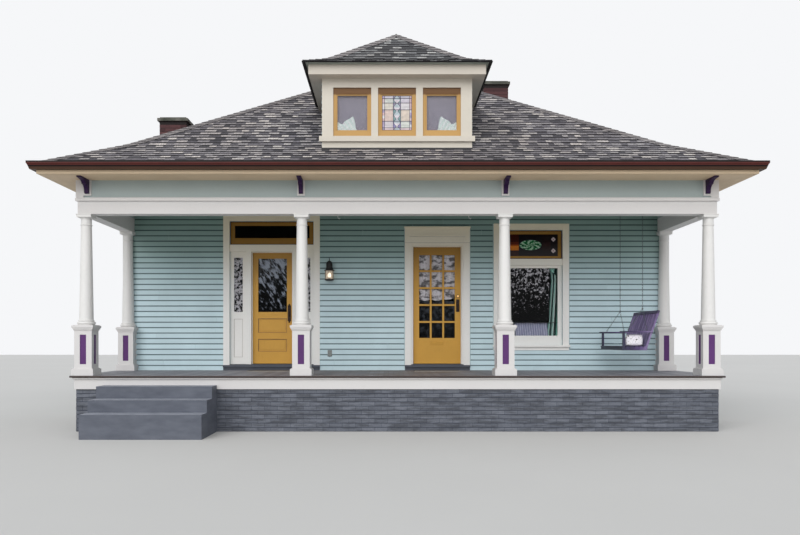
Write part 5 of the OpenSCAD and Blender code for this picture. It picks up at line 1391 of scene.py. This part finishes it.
chain_lo, chain_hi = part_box("swing_chains")
swing_x = sum(corner.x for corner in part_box("swing_hooks")) / 2
split_z = chain_lo.z + spread_h
chain = Pieces("swing_chain_links")
for lo, hi in solids("swing_chains"):
    y = (lo.y + hi.y) / 2
    chain_links(chain, (swing_x, y, chain_hi.z - 0.008), (swing_x, y, split_z))
    for x in (chain_lo.x + 0.009, chain_hi.x - 0.009):
        chain_links(chain, (swing_x, y, split_z), (x, y, chain_lo.z + 0.02))
        chain.tube([(x, y, chain_lo.z), (x, y, chain_lo.z + 0.012)], 0.004, 8)
        eye(chain, x, y, chain_lo.z + 0.018, 0.008, 0.0026, 12)
    eye(chain, swing_x, y, split_z, 0.013, 0.0035, 16)
links = chain.make(metal("chain_iron", (96, 102, 104), 0.45), "chain_steel", "porch_swing", smooth=True)
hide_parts("swing_chains")


# Cushion of the swing


puff_frames = 20
puff_cap = 0.008


def puffed(piece, cap):
    """Fills a closed cover by a short cloth simulation, no point moving further than cap."""
    puff = piece.modifiers.new("puff", "CLOTH")
    puff.settings.use_pressure = True
    puff.settings.uniform_pressure_force = 4
    puff.settings.effector_weights.gravity = 0
    puff.point_cache.frame_start = 1
    puff.point_cache.frame_end = puff_frames
    scene = bpy.context.scene
    for moment in range(1, puff_frames + 1):
        scene.frame_set(moment)
    full = piece.evaluated_get(bpy.context.evaluated_depsgraph_get()).data
    moved = [v.co.copy() for v in full.vertices]
    piece.modifiers.remove(puff)
    for v, to in zip(piece.data.vertices, moved):
        step = to - v.co
        if step.length > 1e-9:
            v.co += step * min(1, cap / step.length)
    scene.frame_set(1)


def pillow():
    """Two bulging faces that share their rim."""
    lo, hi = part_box("swing_pillow")
    middle, half = (lo + hi) / 2, (hi - lo) / 2
    half = Vector((half.x * 0.97, half.y * 0.8, half.z * 0.95))
    across, up = 52, 36
    work = Pieces("swing_cushion")
    points, index = [], {}
    for side in (-1, 1):
        for j in range(up + 1):
            for i in range(across + 1):
                u, v = 2 * i / across - 1, 2 * j / up - 1
                if (abs(u) == 1 or abs(v) == 1) and (i, j, -1) in index:
                    index[(i, j, side)] = index[(i, j, -1)]
                    continue
                crown = ((1 - u ** 4) * (1 - v ** 4)) ** 0.42
                dent = 1 - 0.12 * math.exp(-((u - 0.1) ** 2 + (v + 0.2) ** 2) * 3)
                index[(i, j, side)] = len(points)
                points.append((middle.x + half.x * u * (1 - 0.07 * v * v),
                               middle.y + side * half.y * crown * dent,
                               middle.z + half.z * v * (1 - 0.08 * u * u)))
    faces = [[index[(i + di, j + dj, side)] for di, dj in ((0, 0), (1, 0), (1, 1), (0, 1))][::-side]
             for side in (-1, 1) for j in range(up) for i in range(across)]
    work.solid(points, faces)
    cover = work.make(pillow_look(), "swing_pillow", "porch_swing", smooth=True)
    puffed(cover, puff_cap)
    cover.modifiers.new("smooth", "SUBSURF").levels = 1
    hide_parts("swing_pillow")


pillow()


# Small fittings


def rect(x0, x1, z0, z1, y):
    return [(x0, y, z0), (x1, y, z0), (x1, y, z1), (x0, y, z1)]


def rim(work, x0, x1, z0, z1, front, rear, wide, strips):
    """Strips round a rectangle. A strip is (left, right, foot, head, tone), its edges counted from 0 at
    the low outer edge, through 1 and 2 at the inner edges, to 3 at the high outer edge."""
    xs, zs = ((a, a + wide, b - wide, b) for a, b in ((x0, x1), (z0, z1)))
    for left, right, foot, head, tone in strips:
        work.box((xs[left], front, zs[foot]), (xs[right], rear, zs[head]), tone)


outlet = Pieces("outlet_cover")
ox, oz = -1.245, 1.212
outlet.prism(rect(ox - 0.042, ox + 0.042, oz - 0.06, oz + 0.06, -0.004),
             rect(ox - 0.036, ox + 0.036, oz - 0.054, oz + 0.054, -0.032))
for up in (0.02, -0.025):
    outlet.tube([(ox, -0.03, oz + up), (ox, -0.037, oz + up)], 0.016, 20)
outlet.make(metal("outlet_zinc", (128, 132, 130), 0.55, 0.4), "chain_steel")

hooks = Pieces("ceiling_hooks")
hook_y = -0.09
for hx in (-1.09, 1.36):
    hooks.tube([(hx, hook_y, ceiling_z), (hx, hook_y, ceiling_z - 0.006)], 0.018, 16)
    hooks.tube([(hx + out, hook_y, ceiling_z - drop) for out, drop in
                ((0, 0), (0, 0.17), (0.008, 0.2), (0.03, 0.215), (0.045, 0.195))], 0.006, 8)
hooks.make(paint("hook_enamel", (232, 232, 230), 0.4, 0.02, 0.1), "white_trim")

casing_lo, casing_hi = sorted(solids("front_casings"), key=lambda b: b[0].x)[1]
head_joint = Pieces("second_casing_joint")
head_joint.box((casing_lo.x + 0.012, -0.0256, 3.288), (casing_hi.x - 0.012, -0.0248, 3.2915))
head_joint.make(paint("joint_shadow", (120, 114, 104), 0.8), "white_trim", closed=True)
moulding = Pieces("second_casing_moulding")
moulding.prism(rect(casing_lo.x + 0.1, casing_hi.x - 0.1, 3.396, 3.41, -0.024),
               rect(casing_lo.x + 0.102, casing_hi.x - 0.102, 3.4, 3.407, -0.035))
moulding.make(paint("moulding_paint", (214, 208, 194), 0.5, 0.02, 0.1), "white_trim", closed=True)

pane_lo, pane_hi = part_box("entry_door_glass")
_, entry_face, entry_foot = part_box("entry_door")[0]
# Beads round the door panels: those on the top and left are painted in shade, those on the bottom and right
# stay near the door's ochre.
beads = Pieces("entry_panel_beads")
for low, high in ((0.229, 0.466), (0.585, 0.854)):
    rim(beads, pane_lo.x, pane_hi.x, entry_foot + low, entry_foot + high, entry_face + 0.002,
        entry_face + 0.009, 0.009,
        [(0, 3, 2, 3, 0.0), (0, 1, 0, 2, 0.15), (1, 3, 0, 1, 0.9), (2, 3, 1, 2, 0.8)])
beads.make(boards_paint("bead_paint", (140, 98, 42), 0.45, 0.5), "ochre_paint", "entry_door", closed=True)

bolt = Pieces("deadbolt_face")
bolt_lo, bolt_hi = [b for b in solids("second_door_hardware") if b[1].x > 1 and b[0].z > 2.24][0]
bolt_x, bolt_z = (bolt_lo.x + bolt_hi.x) / 2, (bolt_lo.z + bolt_hi.z) / 2
bolt.tube([(bolt_x, bolt_lo.y + 0.001, bolt_z), (bolt_x, bolt_lo.y - 0.006, bolt_z)], 0.024, 24)
bolt.box((bolt_x - 0.002, bolt_lo.y - 0.009, bolt_z - 0.009),
         (bolt_x + 0.002, bolt_lo.y - 0.005, bolt_z + 0.009))
bolt.make(metal("bolt_brass", (214, 168, 104), 0.3), "bronze", "second_door", closed=True)

grips = Pieces("door_grips")
for plate_lo, plate_hi in solids("entry_door_hardware"):
    if plate_lo.y > 0.09:
        continue
    x = (plate_lo.x + plate_hi.x) / 2
    for end in (plate_hi.z + 0.012, plate_lo.z - 0.012):
        grips.lathe((x, plate_hi.y - 0.012, end), [
            (0.0005, -0.02), (0.012, -0.014), (0.016, 0.0), (0.011, 0.012), (0.0005, 0.02)], 16)
grips.make(bronze, "bronze", "entry_door", smooth=True)

# Dark strips round the transom sashes: painted shadow where each sash meets its casing.
stops = Pieces("transom_shadow_strips")
for lo, hi in solids("transom_sashes"):
    rim(stops, lo.x + 0.001, hi.x - 0.001, lo.z + 0.001, hi.z - 0.001, lo.y - 0.004, lo.y + 0.001, 0.016,
        [(0, 1, 0, 3, 0.2), (2, 3, 0, 3, 0.2), (1, 2, 0, 1, 0.4), (1, 2, 2, 3, 0.3)])
stops.make(boards_paint("transom_shadow_paint", (70, 32, 12), 0.5, 0.3), "ochre_paint", closed=True)

# Beads in the sidelights: the top and left ones painted in shade, the bottom and right ones a little lighter,
# painted light.
side_beads = Pieces("sidelight_beads")
for lo, hi in solids("sidelights"):
    rim(side_beads, lo.x + 0.069, hi.x - 0.069, lo.z + 0.131, lo.z + 0.854, lo.y + 0.001, lo.y + 0.01, 0.007,
        [(0, 3, 2, 3, 0.1), (0, 3, 0, 1, 0.7), (0, 1, 1, 2, 0.2), (2, 3, 1, 2, 0.8)])
side_beads.make(boards_paint("side_bead_paint", (186, 180, 172), 0.5, 0.12), "white_trim", closed=True)


# Stage, lamps and camera


def stage_floor():
    size = 60
    mesh = bpy.data.meshes.new("stage_floor")
    mesh.from_pydata([(-size, -size, 0), (size, -size, 0), (size, size, 0), (-size, size, 0)], [],
                     [(0, 1, 2, 3)])
    floor = in_scene("stage_floor", mesh)
    look = Look("stage_paper", 0.9)
    look.feed(look.shader["Base Color"], look.tinge(look.noise(0.2), (204, 202, 198), 0.99, 1.01, 0.4, 0.6))
    mesh.materials.append(look.material)


def sky():
    """A plain world: white for the camera and for what glass and metal show. As a light it is softer,
    brightest overhead."""
    world = bpy.data.worlds.new("plain_sky")
    bpy.context.scene.world = world
    world.use_nodes = True
    graph = Graph(world.node_tree, "Generated")
    light, out = (graph.tree.nodes[name] for name in ("Background", "World Output"))
    levels = ((0.0, 0.18), (0.25, 0.42), (0.5, 0.72), (1.0, 1.0))
    dome = graph.ramp(graph.part("Z"), [(at, shade((236, 242, 250), level)) for at, level in levels])
    graph.feed(light.inputs["Color"], dome)
    graph.feed(light.inputs["Strength"], 0.85)
    plain = graph.node("ShaderNodeBackground", {"Color": linear(246, 247, 249), "Strength": 1.0})
    rays = graph.node("ShaderNodeLightPath").outputs
    seen = graph.math("MAXIMUM", rays["Is Camera Ray"], rays["Is Glossy Ray"], rays["Is Transmission Ray"])
    blend = graph.node("ShaderNodeMixShader", {0: seen, 1: light.outputs[0], 2: plain.outputs[0]})
    graph.feed(out.inputs[0], blend.outputs[0])


def lamp(name, place, aim, energy, angle):
    data = bpy.data.lights.new(name, "SUN")
    data.energy = energy
    data.angle = math.radians(angle)
    made = in_scene(name, data)
    made.location = place
    made.rotation_euler = (Vector(aim) - Vector(place)).to_track_quat("-Z", "Y").to_euler()


def camera():
    data = bpy.data.cameras.new("camera")
    data.lens = 33.1
    data.sensor_width = 36
    data.shift_x = 0.015
    data.shift_y = 0.091
    data.clip_end = 200
    made = in_scene("camera", data)
    made.location = (-0.15, -13.85, 1.455)
    made.rotation_euler = (math.radians(90), 0, 0)
    bpy.context.scene.camera = made


stage_floor()
sky()
lamp("soft_key", (-6, -18, 14), (0, 0, 2), 2.0, 58)
lamp("soft_fill", (10, -16, 5), (0, 0, 2), 0.46, 60)
camera()
bpy.context.scene.view_settings.view_transform = "Standard"
